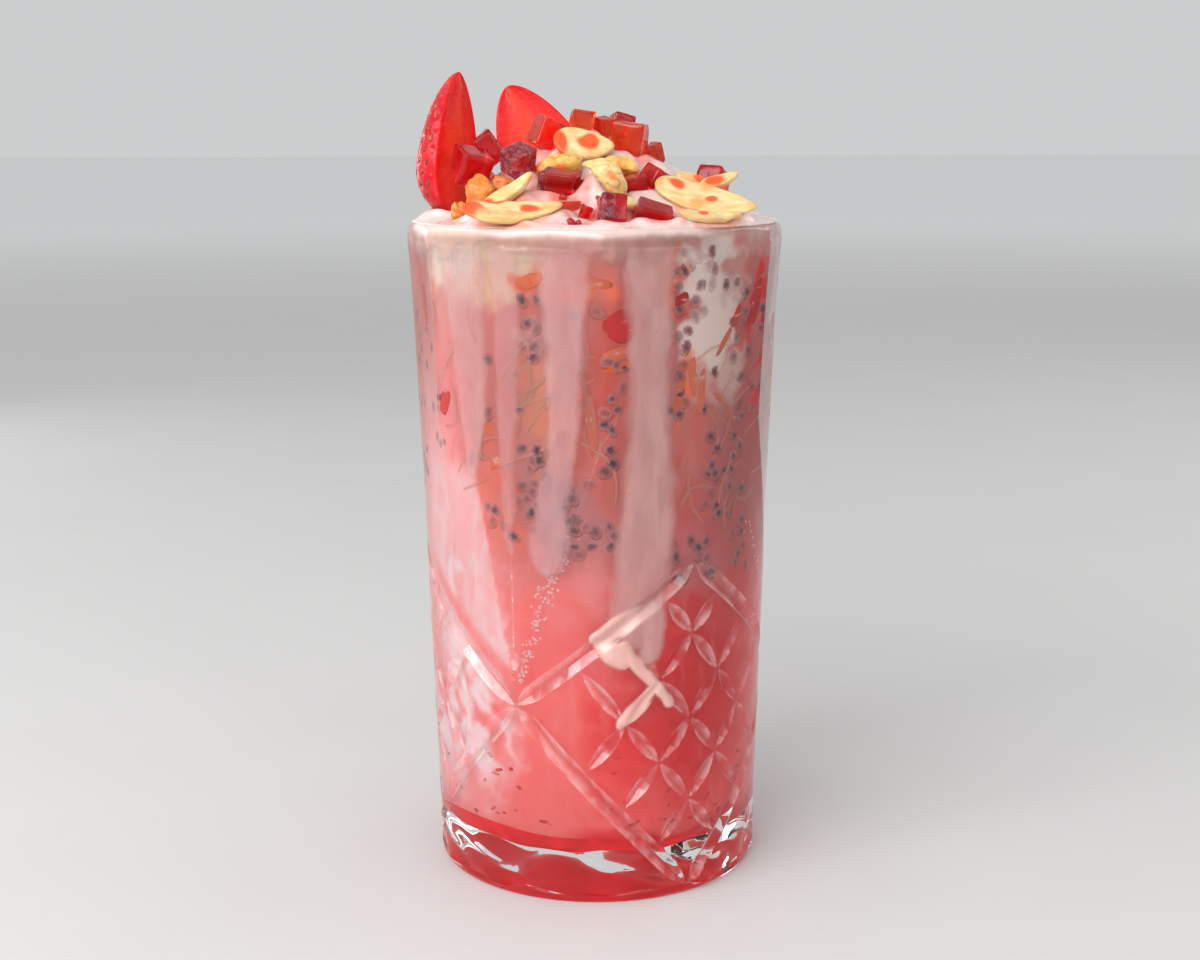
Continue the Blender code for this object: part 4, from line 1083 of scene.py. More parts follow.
# Each topping: centre, size and turn about X, Y, Z
berries = [
    ("strawberry_half", (-28.7, -5.5, 155.8), (30.4, 17.2), (0, 4, 63), 1.0),
    ("strawberry_slice", (-12.9, 9, 156.4), (27, 18.4), (-6, -26, 4), 0.55),
]
dice = [
    ("jelly_01", (-25.3, -13.0, 151.7), (6.8, 6.6, 6.6), (18, 12, 24)),
    ("jelly_02", (-22.0, -5.0, 155.3), (4.2, 4.8, 6.8), (0, -38, 10)),
    ("jelly_03", (-15.8, -15.9, 153.0), (5.4, 5.2, 5.4), (24, -20, 40)),
    ("jelly_04", (-10.0, -4.5, 157.9), (6.5, 6.0, 6.8), (10, 28, 30)),
    ("jelly_05", (-2.9, 3.5, 161.1), (4.8, 4.8, 4.4), (0, 8, 12)),
    ("jelly_06", (2.0, 5.0, 159.8), (3.6, 4.0, 3.8), (12, -10, 40)),
    ("jelly_07", (5.7, 10.0, 159.8), (4.8, 4.8, 4.6), (-8, 14, 20)),
    ("jelly_08", (7.2, -1.8, 157.0), (7.4, 6.6, 7.6), (4, 8, -14)),
    ("jelly_09", (13.0, 4.5, 153.9), (2.2, 4.0, 4.4), (0, -22, 30)),
    ("jelly_10", (12.3, -11.0, 148.9), (5.2, 5.0, 5.0), (20, 30, 45)),
    ("jelly_11", (7.6, -16.4, 147.7), (4.4, 4.8, 4.4), (10, -12, 30)),
    ("jelly_12", (-7.2, -20.8, 148.9), (7.4, 4.6, 4.0), (16, 10, -12)),
    ("jelly_13", (-2.1, -17.6, 147.1), (2.8, 3.0, 3.2), (0, 20, 30)),
    ("jelly_14", (3.1, -32.2, 143.7), (5.2, 4.2, 5.6), (-20, 8, 12)),
    ("jelly_15", (11.1, -29.6, 142.7), (7.2, 4.4, 3.8), (24, 18, 16)),
    ("jelly_16", (-6.0, -26.2, 143.9), (5.6, 2.2, 2.1), (0, -8, 6)),
    ("jelly_17", (-1.8, -30.4, 143.0), (2.0, 2.2, 2.8), (10, 20, 20)),
    ("jelly_18", (-9.0, 20.5, 150.6), (6.6, 6.2, 6.0), (20, 10, 30)),
    ("jelly_19", (0.8, 26.4, 147.6), (6.8, 6.0, 6.0), (8, 24, 50)),
    ("jelly_20", (-25.0, 15.0, 146.6), (6.4, 6.8, 6.0), (14, -18, 15)),
    ("jelly_21", (25.0, 7.8, 147.4), (6.6, 6.0, 6.2), (10, 22, 70)),
]
flakes = [
    ("almond_01", (-16.3, -31.2, 143.2), (20.0, 8.8, 1.5), (22, -2, 9)),
    ("almond_02", (-17.6, -24.4, 146.4), (13.4, 4.2, 1.8), (30, -34, 18)),
    ("almond_03", (-2.4, -10.2, 156.0), (12.8, 8.0, 1.6), (48, 6, 8)),
    ("almond_04", (22.2, -19.9, 145.2), (21.4, 9.4, 1.5), (29, 14, -14)),
    ("almond_05", (22.6, -28.9, 142.0), (15.6, 3.7, 1.4), (24, 2, 34)),
    ("almond_06", (20.0, -7.2, 148.9), (7.0, 3.4, 1.5), (20, 10, -8)),
    ("almond_07", (25.6, -11.0, 148.5), (8.8, 3.2, 1.5), (40, -16, 16)),
    ("almond_08", (7.6, -26.0, 144.3), (4.6, 3.6, 1.5), (34, 20, 30)),
    ("almond_09", (-13.0, 29.4, 144.0), (19.0, 9.0, 1.5), (-26, 4, -20)),
    ("almond_10", (27.2, 19.6, 144.0), (17.0, 8.0, 1.5), (-20, 24, 50)),
]
chunks = [
    ("nut_01", (-23.3, -20.6, 146.7), (5.8, 5.2, 7.6), (10, 14, 20), 0.0),
    ("nut_02", (-18.5, -18.4, 148.0), (4.6, 3.6, 3.4), (0, 20, 30), 0.0),
    ("nut_03", (-27.5, -18.8, 142.8), (3.4, 3.2, 3.8), (10, 0, 40), 0.0),
    ("nut_04", (-7.1, -15.7, 151.5), (10.4, 4.8, 5.6), (10, -14, 12), 0.0),
    ("nut_05", (3.2, -24.4, 150.0), (12.0, 4.6, 4.4), (20, 50, -10), 0.14),
    ("nut_06", (4.8, -13.0, 151.9), (8.6, 3.6, 3.6), (10, 10, -6), 0.0),
    ("nut_07", (-24.5, 24.0, 143.8), (6.0, 5.0, 5.0), (0, 20, 40), 0.0),
    ("nut_08", (10.0, 31.0, 143.9), (7.0, 4.6, 4.4), (0, 10, 10), 0.1),
]


toppingPoints = []  # all their points, for the cream that they lie on


def turnedPoints(points, centre, turn):
    # turned about X, Y and Z, then put in its place
    matrix = np.array(Euler([a * degree for a in turn]).to_matrix())
    return points @ matrix.T + centre


def berryProfile(t):
    # radius of a strawberry along its height, as a share of its widest, which is low down
    broad = 0.35
    low = (1 - (np.clip(broad - t, 0, None) / broad) ** 2.2) ** 0.6
    high = (1 - (np.clip(t - broad, 0, None) / (1 - broad)) ** 1.5) ** 0.6
    return np.where(t < broad, low, high)


berryStyle = {
    "rows": 90, "skin": 72, "face": 40, "pipRows": 12, "pipColumns": 8, "pip": (0.72, 0.4, 0.34), "dimple": 0.35,
    "dimpleReach": 0.75, "bow": 0.35, "seed": 8, "pipNet": (5, 8), "pipTaper": 0.35, "pipClear": 0.16, "pipSunk": 0.28,
}


def pipPlaces():
    # height share and angle of each pip, in rows that are set off by half a step
    style = berryStyle
    rng = np.random.default_rng(style["seed"])
    row, column = np.divmod(np.arange(style["pipRows"] * style["pipColumns"]), style["pipColumns"])
    t = 0.05 + 0.9 * (row + 0.5 + rng.uniform(-0.16, 0.16, len(row))) / style["pipRows"]
    return t, np.pi * (column + 0.25 + 0.5 * (row % 2) + rng.uniform(-0.12, 0.12, len(row))) / style["pipColumns"]


def makeBerries(skin, pipFinish):
    # round skin with a dimple at each pip, and a cut face that bows out slightly in the middle
    style = berryStyle
    pips = Builder()
    pipT, pipAngle = pipPlaces()
    t = (1 - np.cos(np.linspace(0.05, np.pi - 0.05, style["rows"])))[:, None] / 2
    around = np.linspace(0, np.pi, style["skin"])
    across = np.linspace(-1, 1, style["face"] + 2)[None, 1:-1]
    edge = smoothStep(0, 0.12, np.minimum(around, np.pi - around))[None]
    onSkin, onFace = np.ones((len(t), style["skin"])), np.ones((len(t), style["face"]))
    for name, centre, (height, width), turn, depth in berries:
        r = width / 2 * berryProfile(t)
        z = (t - 0.5) * height
        shiftT = (t[..., None] - pipT) * height
        shiftA = (around[None, :, None] - pipAngle) * width / 2 * berryProfile(pipT)
        near = np.exp(-(shiftT**2 + shiftA**2) / style["dimpleReach"] ** 2).max(-1)
        dented = r * (1 - style["dimple"] * near / (width / 2) * edge)
        skinRows = np.stack([dented * np.cos(around), depth * dented * np.sin(around), z * onSkin], -1)
        bow = -style["bow"] * (1 - across**2) * np.sin(np.pi * t) - 0.12 * np.cos(across * 6) * (1 - across**4)
        faceRows = np.stack([r * across, bow, z * onFace], -1)
        points, faces = closedGrid(np.concatenate([skinRows, faceRows], 1), flip=True)
        cut = np.concatenate([0 * onSkin, onFace], 1)
        cut[:, 0] = cut[:, style["skin"] - 1] = 0.5
        values = {
            "cut": cut, "middle": np.concatenate([onSkin, np.abs(across) * onFace], 1),
            "dimple": np.concatenate([near * edge, 0 * onFace], 1), "rise": t + 0 * cut,
        }
        parts = Builder()
        parts.add(turnedPoints(points, centre, turn), faces, **{k: np.append(v, [0.0, 0.0]) for k, v in values.items()})
        toppingPoints.extend(parts.points)
        mend(parts.piece("fresh_" + name, skin, [name]), merge=False)
        addPips(pips, centre, height, width, turn, depth, pipT, pipAngle)
    pips.piece("strawberry_pips", pipFinish)


def addPips(pips, centre, height, width, turn, depth, pipT, pipAngle):
    # each pip is a small drop lying in its dimple, pointed up the fruit; none stands at the cut's edge
    long, wide, tall = berryStyle["pip"]
    clear, sunk, (rows, columns) = (berryStyle[key] for key in ("pipClear", "pipSunk", "pipNet"))
    ball = ballPoints(np.linspace(0.25, np.pi - 0.25, rows), anglesRound(columns))
    drop = ball * (wide, tall, long)
    drop[..., :2] *= 1 - berryStyle["pipTaper"] * ball[..., 2:]
    for t, a in zip(pipT, pipAngle):
        if not clear < a < np.pi - clear:
            continue
        r = width / 2 * berryProfile(t) - sunk
        normal = np.array([np.cos(a) * depth, np.sin(a), 0])
        normal /= np.linalg.norm(normal)
        slope = (berryProfile(t + 0.02) - berryProfile(t - 0.02)) / 0.04 * width / 2 / height
        up = np.array([normal[0] * slope, normal[1] * slope, 1.0])
        up /= np.linalg.norm(up)
        side = np.cross(normal, up)
        place = np.array([r * np.cos(a), depth * r * np.sin(a), (t - 0.5) * height])
        points, faces = closedGrid(place + drop @ np.stack([side, np.cross(up, side), up]))
        pips.add(turnedPoints(points, centre, turn), faces)


def berryMaterial():
    # glossy red skin, lighter round its pips; the cut face orange-red with a paler heart and fine rays
    paint = Finish("strawberry", (0.5, 0.001, (4.5, 0.9, 0.5)), Roughness=0.2, IOR=1.3)
    skin = paint.mixed(paint.spots(6, 2, 0.35, 0.7), tone(176, 10, 26), tone(208, 40, 52))
    skin = paint.mixed(paint.span(paint.value("dimple"), 0.3, 1.0, 0, 0.5), skin, tone(224, 60, 40))
    middle = paint.value("middle")
    rays = paint.noise(3.2, 3, 0.6, 0.4, scale=(1, 1, 3.2))
    flesh = paint.mixed(paint.span(middle, 0.95, 0.45), tone(226, 30, 28), tone(248, 70, 48))
    flesh = paint.mixed(paint.span(paint.value("rise"), 0.9, 0.4), tone(208, 16, 22), flesh)
    heart = paint.maths("ADD", middle, paint.span(rays, 0.3, 0.7, -0.16, 0.16))
    flesh = paint.mixed(paint.span(heart, 0.42, 0.1, 0, 0.3), flesh, tone(240, 90, 52))
    flesh = paint.mixed(paint.span(rays, 0.56, 0.72, 0, 0.22), flesh, tone(246, 104, 66))
    paint.link(paint.mixed(paint.span(paint.value("cut"), 0.4, 0.6), skin, flesh))
    paint.link(paint.spots(2.4, 2, 0.35, 0.7, 0.14, 0.34), "Roughness")
    paint.bump(paint.noise(1.1, 3), 0.18, 0.35)
    return paint.material


def pipMaterial():
    # dark brown to straw
    paint = Finish("strawberry_pip", Roughness=0.35)
    paint.link(paint.mixed(paint.spots(4, 2, 0.35, 0.65), tone(92, 30, 14), tone(150, 96, 40)))
    return paint.material


makeBerries(berryMaterial(), pipMaterial())

dieStyle = {"steps": 9, "round": 0.085, "jitter": 0.09, "uneven": 0.012}
dieTints = {  # 0 is deep red and 1 is orange-red
    "jelly_04": 0.7, "jelly_05": 1.0, "jelly_06": 0.9, "jelly_07": 0.3, "jelly_08": 0.9, "jelly_09": 0.8,
    "jelly_16": 0.9, "jelly_18": 0.7, "jelly_20": 0.4,
}
plainTint = 0.06
# painted sheen: a silvery reflection of the bright surroundings painted on the whole die, or from its left side to an
# edge
wholePaintedSheen = {"jelly_03": 0.75}
leftPaintedSheen = {"jelly_12": (0.9, -0.5), "jelly_13": (0.6, -0.5), "jelly_14": (1.0, 0.05), "jelly_15": (0.35, -0.5)}


def roundedCube(steps, rounding):
    # the six faces of a cube as grids, with points crowded at the edges, then every edge rounded
    s = np.sin(np.linspace(-1, 1, steps) * np.pi / 2)
    u, v = np.meshgrid(s, s, indexing="ij")
    one = np.ones_like(u)
    parts = Builder()
    for side in ((one, u, v), (-one, v, u), (v, one, u), (u, -one, v), (u, v, one), (v, u, -one)):
        box = np.stack(side, -1)
        core = np.clip(box, -(1 - 2 * rounding), 1 - 2 * rounding)
        away = box - core
        away *= 2 * rounding / np.linalg.norm(away, axis=-1, keepdims=True)
        parts.add(core + away, [gridQuads(steps, steps, wrap=False)])
    return np.concatenate(parts.points), parts.faces


def rindOf(name, cube):
    # how much painted sheen, a silvery reflection, each point of a die has
    share, edge = leftPaintedSheen.get(name, (0.0, 0.0))
    return wholePaintedSheen.get(name, 0.0) + share * smoothStep(edge + 0.25, edge - 0.25, cube[:, 0])


def makeDice(material):
    # each die is a rounded cube whose eight corners are pushed a little off square, as the solid's are
    cube, faces = roundedCube(dieStyle["steps"], dieStyle["round"])
    corners = np.array([(i, j, k) for i in (-1, 1) for j in (-1, 1) for k in (-1, 1)])
    weights = np.prod((1 + cube[:, None] * corners[None]) / 2, -1)
    parts = Builder()
    for i, (name, centre, size, turn) in enumerate(dice):
        push = np.random.default_rng(i + 1).uniform(-dieStyle["jitter"], dieStyle["jitter"], (8, 3))
        local = cube / 2 + weights @ push
        local += dieStyle["uneven"] * np.stack([ripple(cube * 1.6 + i * 9, 1.7, 70 + k) for k in range(3)], -1)
        parts.add(turnedPoints(local * size, centre, turn), faces, tint=dieTints.get(name, plainTint),
                  rind=rindOf(name, cube))
    toppingPoints.extend(parts.points)
    mend(parts.piece("jelly_dice", material, [d[0] for d in dice]))


def jellyMaterial():
    # clear, deep red to orange-red by its tint, with a crinkled silvery reflection painted on where its sheen is set
    paint = Finish("fruit_jelly", (1.0, 0.001, (7.0, 1.0, 0.7)), Roughness=0.07, IOR=1.38, Transmission_Weight=0.82)
    depth = paint.spots(5, 2, 0.35, 0.65)
    deep = paint.mixed(depth, tone(206, 16, 30), tone(232, 48, 60))
    bright = paint.mixed(depth, tone(236, 70, 34), tone(248, 112, 68))
    clear = paint.mixed(paint.value("tint"), deep, bright)
    crinkle = paint.noise(1.1, 3, 0.6, 0.6)
    # the painted reflection: a silvery grey-mauve, mixed in where the painted sheen is set
    sheenTone = paint.mixed(paint.span(crinkle, 0.42, 0.62), tone(120, 48, 64), tone(206, 160, 176))
    rind = paint.maths("MULTIPLY", paint.value("rind"), paint.span(crinkle, 0.3, 0.6, 0.5, 1.0))
    paint.link(paint.mixed(rind, clear, sheenTone))
    paint.link(paint.spots(2.6, 2, 0.4, 0.7, 0.04, 0.16), "Roughness")
    paint.bump(paint.noise(1.6, 3), 0.2, 0.45)
    return paint.material


redJelly = jellyMaterial()
makeDice(redJelly)

# a slice's section from its middle outwards: distance and height, up to its rounded edge
flakeStyle = {"around": 60, "inner": 18, "edge": [(0.78, 0.97), (0.86, 0.88), (0.93, 0.72), (0.98, 0.4), (1.0, 0.0)]}

flakeSpots = {  # orange syrup: where along and across the slice, how long and how wide, as shares of it
    "almond_01": [(0.36, -0.1, 0.2, 0.42), (-0.9, 0.2, 0.3, 1.1), (-0.3, 0.9, 0.3, 0.3)],
    "almond_02": [(-0.75, 0.0, 0.3, 0.8)],
    "almond_03": [(0.12, 0.1, 0.34, 0.55), (-0.8, -0.2, 0.24, 0.8), (0.75, 0.7, 0.2, 0.3)],
    "almond_04": [(-0.62, 0.25, 0.16, 0.34), (0.12, -0.1, 0.11, 0.24), (0.8, -0.8, 0.2, 0.25)],
    "almond_05": [(-0.2, 0.2, 0.16, 0.4)],
    "almond_06": [(0.5, 0.0, 0.4, 0.9)],
    "almond_07": [(-0.25, 0.0, 0.5, 0.9)],
    "almond_09": [(0.3, 0.1, 0.25, 0.5), (-0.7, 0.5, 0.3, 0.5)],
    "almond_10": [(-0.3, -0.2, 0.3, 0.5)],
}


def flakeStain(name, along, across, points):
    # 1 inside a spot and 0 outside, with a slightly uneven edge
    stain = np.zeros(len(points))
    uneven = 0.12 * ripple(points, 4, 95)
    for there, side, long, wide in flakeSpots.get(name, []):
        away = np.hypot((along - there) / long, (across - side) / wide) + uneven
        stain = np.maximum(stain, smoothStep(1.25, 0.75, away))
    return stain


def makeFlakes(material):
    # each slice is an oval with a pointed end, slightly dished, with rounded edges; shade follows its stains
    parts = Builder()
    angle = anglesRound(flakeStyle["around"])
    x = np.cos(angle)
    high = [(share, 1.0) for share in np.linspace(0.04, 0.7, flakeStyle["inner"])] + flakeStyle["edge"]
    section = np.array([(share, -side) for share, side in high] + high[-2::-1])
    share, side = section[:, :1], section[:, 1:]
    for i, (name, centre, (length, width, thick), turn) in enumerate(flakes):
        y = np.sin(angle) * (1 - 0.28 * x) * (1 + 0.04 * np.sin(3 * angle + i + 1))
        dish = 0.06 * length * (share * x) ** 2
        grid = np.stack([share * x * length / 2, share * y * width / 2, side * thick / 2 + dish], -1)
        points, faces = closedGrid(grid)
        points[:, 2] += 0.1 * thick * ripple(points, 5, 90 + i)
        along = np.clip(points[:, 0] / (length / 2), -1, 1)
        across = points[:, 1] / (width / 2)
        parts.add(turnedPoints(points, centre, turn), faces, stain=flakeStain(name, along, across, points),
                  edge=np.maximum(np.abs(across), np.abs(along)))
    toppingPoints.extend(parts.points)
    parts.piece("almond_slices", material, [f[0] for f in flakes])


def almondMaterial():
    # pale flesh with grain along it, a brown rim, faint blots of syrup and the bright spots
    paint = Finish("sliced_almond", (0.3, 0.001, (2.4, 1.5, 0.8)), Roughness=0.34)
    grain = paint.noise(1.6, 3, scale=(0.4, 1, 1))
    body = paint.mixed(paint.span(grain, 0.35, 0.7), tone(214, 182, 120), tone(226, 204, 156))
    rim = paint.mixed(paint.span(paint.value("edge"), 0.72, 1.0, 0, 0.5), body, tone(196, 142, 62))
    blot = paint.mixed(paint.spots(6, 2, 0.52, 0.7, 0, 0.7), rim, tone(222, 140, 64))
    paint.link(paint.mixed(paint.value("stain"), blot, tone(232, 84, 30)))
    paint.bump(grain, 0.12, 0.4)
    return paint.material


makeFlakes(almondMaterial())

nutStyle = {"around": 56, "rows": 40, "lump": 0.16, "lumpUp": 0.1, "fold": 0.26, "fine": 0.06}
nutShades = {
    "nut_01": tone(206, 122, 34), "nut_02": tone(206, 146, 92), "nut_03": tone(182, 126, 46),
    "nut_04": tone(214, 170, 84), "nut_05": tone(218, 184, 122), "nut_06": tone(214, 168, 80),
}
plainNut = tone(202, 150, 74)


def makeNuts(material):
    # each piece is a ball swollen by the solid's lumps and by finer folds, and bent where it is a walnut's curl
    style = nutStyle
    parts = Builder()
    outward = ballPoints(np.linspace(0.03, np.pi - 0.03, style["rows"]), anglesRound(style["around"]))
    x, y, z = np.moveaxis(outward / 2, -1, 0)
    for i, (name, centre, size, turn, bend) in enumerate(chunks):
        phase = np.random.default_rng(i + 1).uniform(0, 6, 3)
        lump = 1 + style["lump"] * np.sin(7 * x + phase[0]) * np.cos(6 * y + phase[1])
        lump += style["lumpUp"] * np.sin(9 * z + phase[2])
        shape = outward / 2 * lump[..., None] * size
        folds = np.abs(ripple(shape, 3.6, 110 + i)) ** 0.7
        swell = style["fold"] * (folds - 0.7) + style["fine"] * ripple(shape, 1.1, 130 + i)
        shape = shape + outward * swell[..., None]
        if bend:
            angle = shape[..., 0] * bend
            shape = np.stack([np.sin(angle) / bend, shape[..., 1], shape[..., 2] + (np.cos(angle) - 1) / bend], -1)
        points, faces = closedGrid(shape, flip=True)
        parts.add(turnedPoints(points, centre, turn), faces, crease=np.append(folds, [0.5, 0.5]),
                  shade=nutShades.get(name, plainNut))
    toppingPoints.extend(parts.points)
    parts.piece("nut_pieces", material, [c[0] for c in chunks])


def nutMaterial():
    # its own shade with paler meat, brown in its creases and orange where syrup soaked in
    paint = Finish("broken_nut", (0.2, 0.001, (2.0, 1.2, 0.6)), Roughness=0.38)
    meat = paint.mixed(paint.spots(2.4, 3, 0.45, 0.75, 0, 0.45), paint.painted(), tone(222, 192, 132))
    crease = paint.mixed(paint.span(paint.value("crease"), 0.45, 0.05, 0, 0.6), meat, tone(166, 88, 26))
    paint.link(paint.mixed(paint.spots(4.5, 2, 0.52, 0.66, 0, 0.75), crease, tone(220, 100, 24)))
    paint.bump(paint.noise(0.9, 4), 0.2, 0.5)
    return paint.material


makeNuts(nutMaterial())

# the cream on top
cream = {
    "foot": 133.6, "sideTop": 138.6, "edgeHeight": 140.9, "rise": 16.0, "bell": 2.2, "reach": 38.9, "columns": 360,
    "rings": 110, "mapHalf": 42.0, "mapCell": 0.6, "cushion": 3.2, "sink": 0.35, "least": 140.5, "lip": 140.45,
}
# how it lies on the rim: radius and height, then share of the way from the last of these to its edge, and height
onRim = [(37.75, 139.5), (38.1, 139.85), (38.4, 140.0)]
overRim = [(0.55, 140.02), (0.95, 140.05), (1.0, 140.35)]


def creamTop(bearing, radius):
    # the mound: a dome over the rim, with soft lumps that fade out at its edge
    x, y = radius * np.sin(bearing * degree), -radius * np.cos(bearing * degree)
    share = np.clip(radius / 38.5, 0, 1)
    lumps = np.sin(x * 0.31 + 1) * np.cos(y * 0.27) + 0.6 * np.sin(x * 0.5 - y * 0.42)
    return cream["edgeHeight"] + cream["rise"] * (1 - share**2) ** cream["bell"] + 0.8 * lumps * (1 - share**3)


def creamEdge(bearing):
    # how far the cream lies over the rim: furthest in front and at the left
    lean = np.cos((bearing + 25) * degree)
    return cream["reach"] - 0.35 * (1 - lean) / 2 - 0.15 * np.sin(bearing * 9 * degree)


def blurred(field, times):
    # each cell becomes the mean of itself and its neighbours, as often as asked
    for _ in range(times):
        for axis in (0, 1):
            field = (np.roll(field, 1, axis) + field + np.roll(field, -1, axis)) / 3
    return field


def creamBed():
    # a map of the cream's height: the mound, pressed down or raised to meet the underside of what lies on it
    half, cell = cream["mapHalf"], cream["mapCell"]
    count = int(2 * half / cell) + 1
    side = np.linspace(-half, half, count)
    x, y = np.meshgrid(side, side, indexing="ij")
    mound = creamTop(np.arctan2(x, -y) / degree, np.hypot(x, y))
    points = np.concatenate(toppingPoints)
    index = np.clip(np.rint((points[:, :2] + half) / cell).astype(int), 0, count - 1)
    under = np.full((count, count), 1e3)
    np.minimum.at(under, (index[:, 0], index[:, 1]), points[:, 2])
    for axis in (0, 1):  # close the small gaps between the points
        under = np.minimum(under, np.minimum(np.roll(under, 1, axis), np.roll(under, -1, axis)))
    covered = under < mound + cream["cushion"]
    pressed = under + cream["sink"]
    soft = blurred(np.where(covered, pressed, mound), 3)
    return blurred(np.where(covered, np.minimum(soft, pressed), soft), 1)


def creamHeight(x, y, bed):
    # the map's height at any place, weighed between its four nearest cells
    half, cell = cream["mapHalf"], cream["mapCell"]
    u, v = (x + half) / cell, (y + half) / cell
    i, j = u.astype(int), v.astype(int)
    u, v = u - i, v - j
    low = bed[i, j] * (1 - u) + bed[i + 1, j] * u
    high = bed[i, j + 1] * (1 - u) + bed[i + 1, j + 1] * u
    return low * (1 - v) + high * v


def makeCream(material, bed):
    # rings from the foot up inside the glass, over the rim, and inwards over the mapped mound
    bearing = np.arange(cream["columns"]) * 360 / cream["columns"]
    foot, reach, rimRadius = cream["foot"], drink["reach"], onRim[-1][0]
    rows = [spot(bearing, share * (boreRadius(foot) + reach), foot) for share in (0.3, 0.7)]
    rows += [spot(bearing, boreRadius(z) + reach, z) for z in np.linspace(foot, cream["sideTop"], 9)]
    rows += [spot(bearing, radius, z) for radius, z in onRim]
    edge = creamEdge(bearing)
    rows += [spot(bearing, rimRadius + share * (edge - rimRadius), z) for share, z in overRim]
    for share in np.linspace(1, 0.01, cream["rings"]) ** 0.92:
        x, y, _ = np.moveaxis(spot(bearing, share * edge, 0.0), -1, 0)
        z = np.maximum(creamHeight(x, y, bed), cream["least"])
        rows.append(np.stack([x, y, cream["lip"] + smoothStep(1.0, 0.955, share) * (z - cream["lip"])], -1))
    points, faces = closedGrid(np.stack(rows))
    points[:, 2] += 0.12 * ripple(points, 5, 40) * (points[:, 2] > 141)
    side = smoothStep(139.4, 138.0, points[:, 2])[:, None]
    shade = side * drinkShade(points) + (1 - side) * creamShade(points)
    makePiece("cream_mound", points, faces, material, ["cream"], {"shade": shade}, creaseAngle)


def creamShade(points):
    # pinkish white at the rim, and stained orange-pink where syrup has run from the jelly and fruit
    colour = np.broadcast_to(tone(214, 184, 178), points.shape).copy()
    tinge(colour, tone(228, 212, 208), 0.85 * smoothStep(-0.6, 0.9, ripple(points, 12, 31)))
    warp = points + 1.2 * np.stack([ripple(points, 4, s) for s in (32, 33, 34)], -1)
    stains = [(c, 0.95 * max(s), tone(206, 72, 54)) for _, c, s, _ in dice]
    stains += [(c, 0.42 * s[0], tone(216, 120, 78)) for _, c, s, _ in flakes]
    for centre, reach, stain in stains:
        off = np.linalg.norm((warp - centre) * [1, 1, 0.7], axis=1) / reach
        tinge(colour, stain, 0.62 * smoothStep(1.2, 0.55, off))
    return colour


def creamMaterial():
    # the painted shade under pale clouds and faint pink blots, wet in places
    paint = Finish("pale_cream", (0.4, 0.001, (3.0, 1.6, 1.2)), Roughness=0.28)
    clouds = paint.spots(4, 3, 0.45, 0.75, 0, 0.3, rough=0.6, warp=0.6)
    cloudy = paint.mixed(clouds, paint.painted(), tone(234, 220, 214))
    paint.link(paint.mixed(paint.spots(2.2, 3, 0.6, 0.8, 0, 0.25), cloudy, tone(206, 118, 104)))
    paint.link(paint.spots(3, 2, 0.35, 0.7, 0.16, 0.42), "Roughness")
    paint.bump(paint.noise(1.6, 4, 0.6), 0.25, 0.35)
    return paint.material


# scraps of jelly on the cream: place, size in millimetres and tint
crumbs = [
    (-4.6, -36.4, 1.9, 0.0), (-3.2, -36.7, 1.2, 0.0), (-6.5, -23.6, 1.5, 0.9), (0.6, -26.6, 1.3, 0.2),
    (5.8, -22.0, 1.2, 0.1), (-12.6, -13.2, 1.6, 0.1), (-19.6, -12.2, 1.5, 0.1), (-10.8, -18.6, 1.4, 0.4),
    (1.6, -10.0, 1.5, 0.5), (14.2, -14.4, 1.3, 0.1), (9.6, -7.8, 1.4, 0.9), (-0.6, -2.6, 1.6, 0.8),
    (-14.0, 0.6, 1.6, 0.4), (4.0, 14.4, 1.5, 0.6), (14.8, 14.6, 1.4, 0.2), (-8.0, 12.0, 1.6, 0.5),
    (-2.4, 33.0, 1.4, 0.1), (17.0, 25.6, 1.5, 0.3), (-19.4, 27.4, 1.4, 0.6), (31.0, -3.8, 1.4, 0.1),
]


def makeCrumbs(material, bed):
    # small rounded scraps, each pressed a third of the way into the cream
    cube, faces = roundedCube(3, 0.3)
    parts = Builder()
    for i, (x, y, size, lit) in enumerate(crumbs):
        z = float(creamHeight(np.float64(x), np.float64(y), bed)) + 0.16 * size
        rng = np.random.default_rng(200 + i)
        shape = cube / 2 * size * rng.uniform(0.6, 1.2, 3)
        parts.add(turnedPoints(shape, (x, y, z), rng.uniform(0, 90, 3)), faces, tint=lit, rind=0.0)
    mend(parts.piece("jelly_crumbs", material))


creamMap = creamBed()
makeCream(creamMaterial(), creamMap)
makeCrumbs(redJelly, creamMap)

# the cream that ran over the rim
runStyle = {
    "step": 0.42, "from": -84.0, "to": 44.0, "low": 36.0, "reach": 0.75, "wetReach": 0.5, "least": 0.02, "back": 0.04,
}
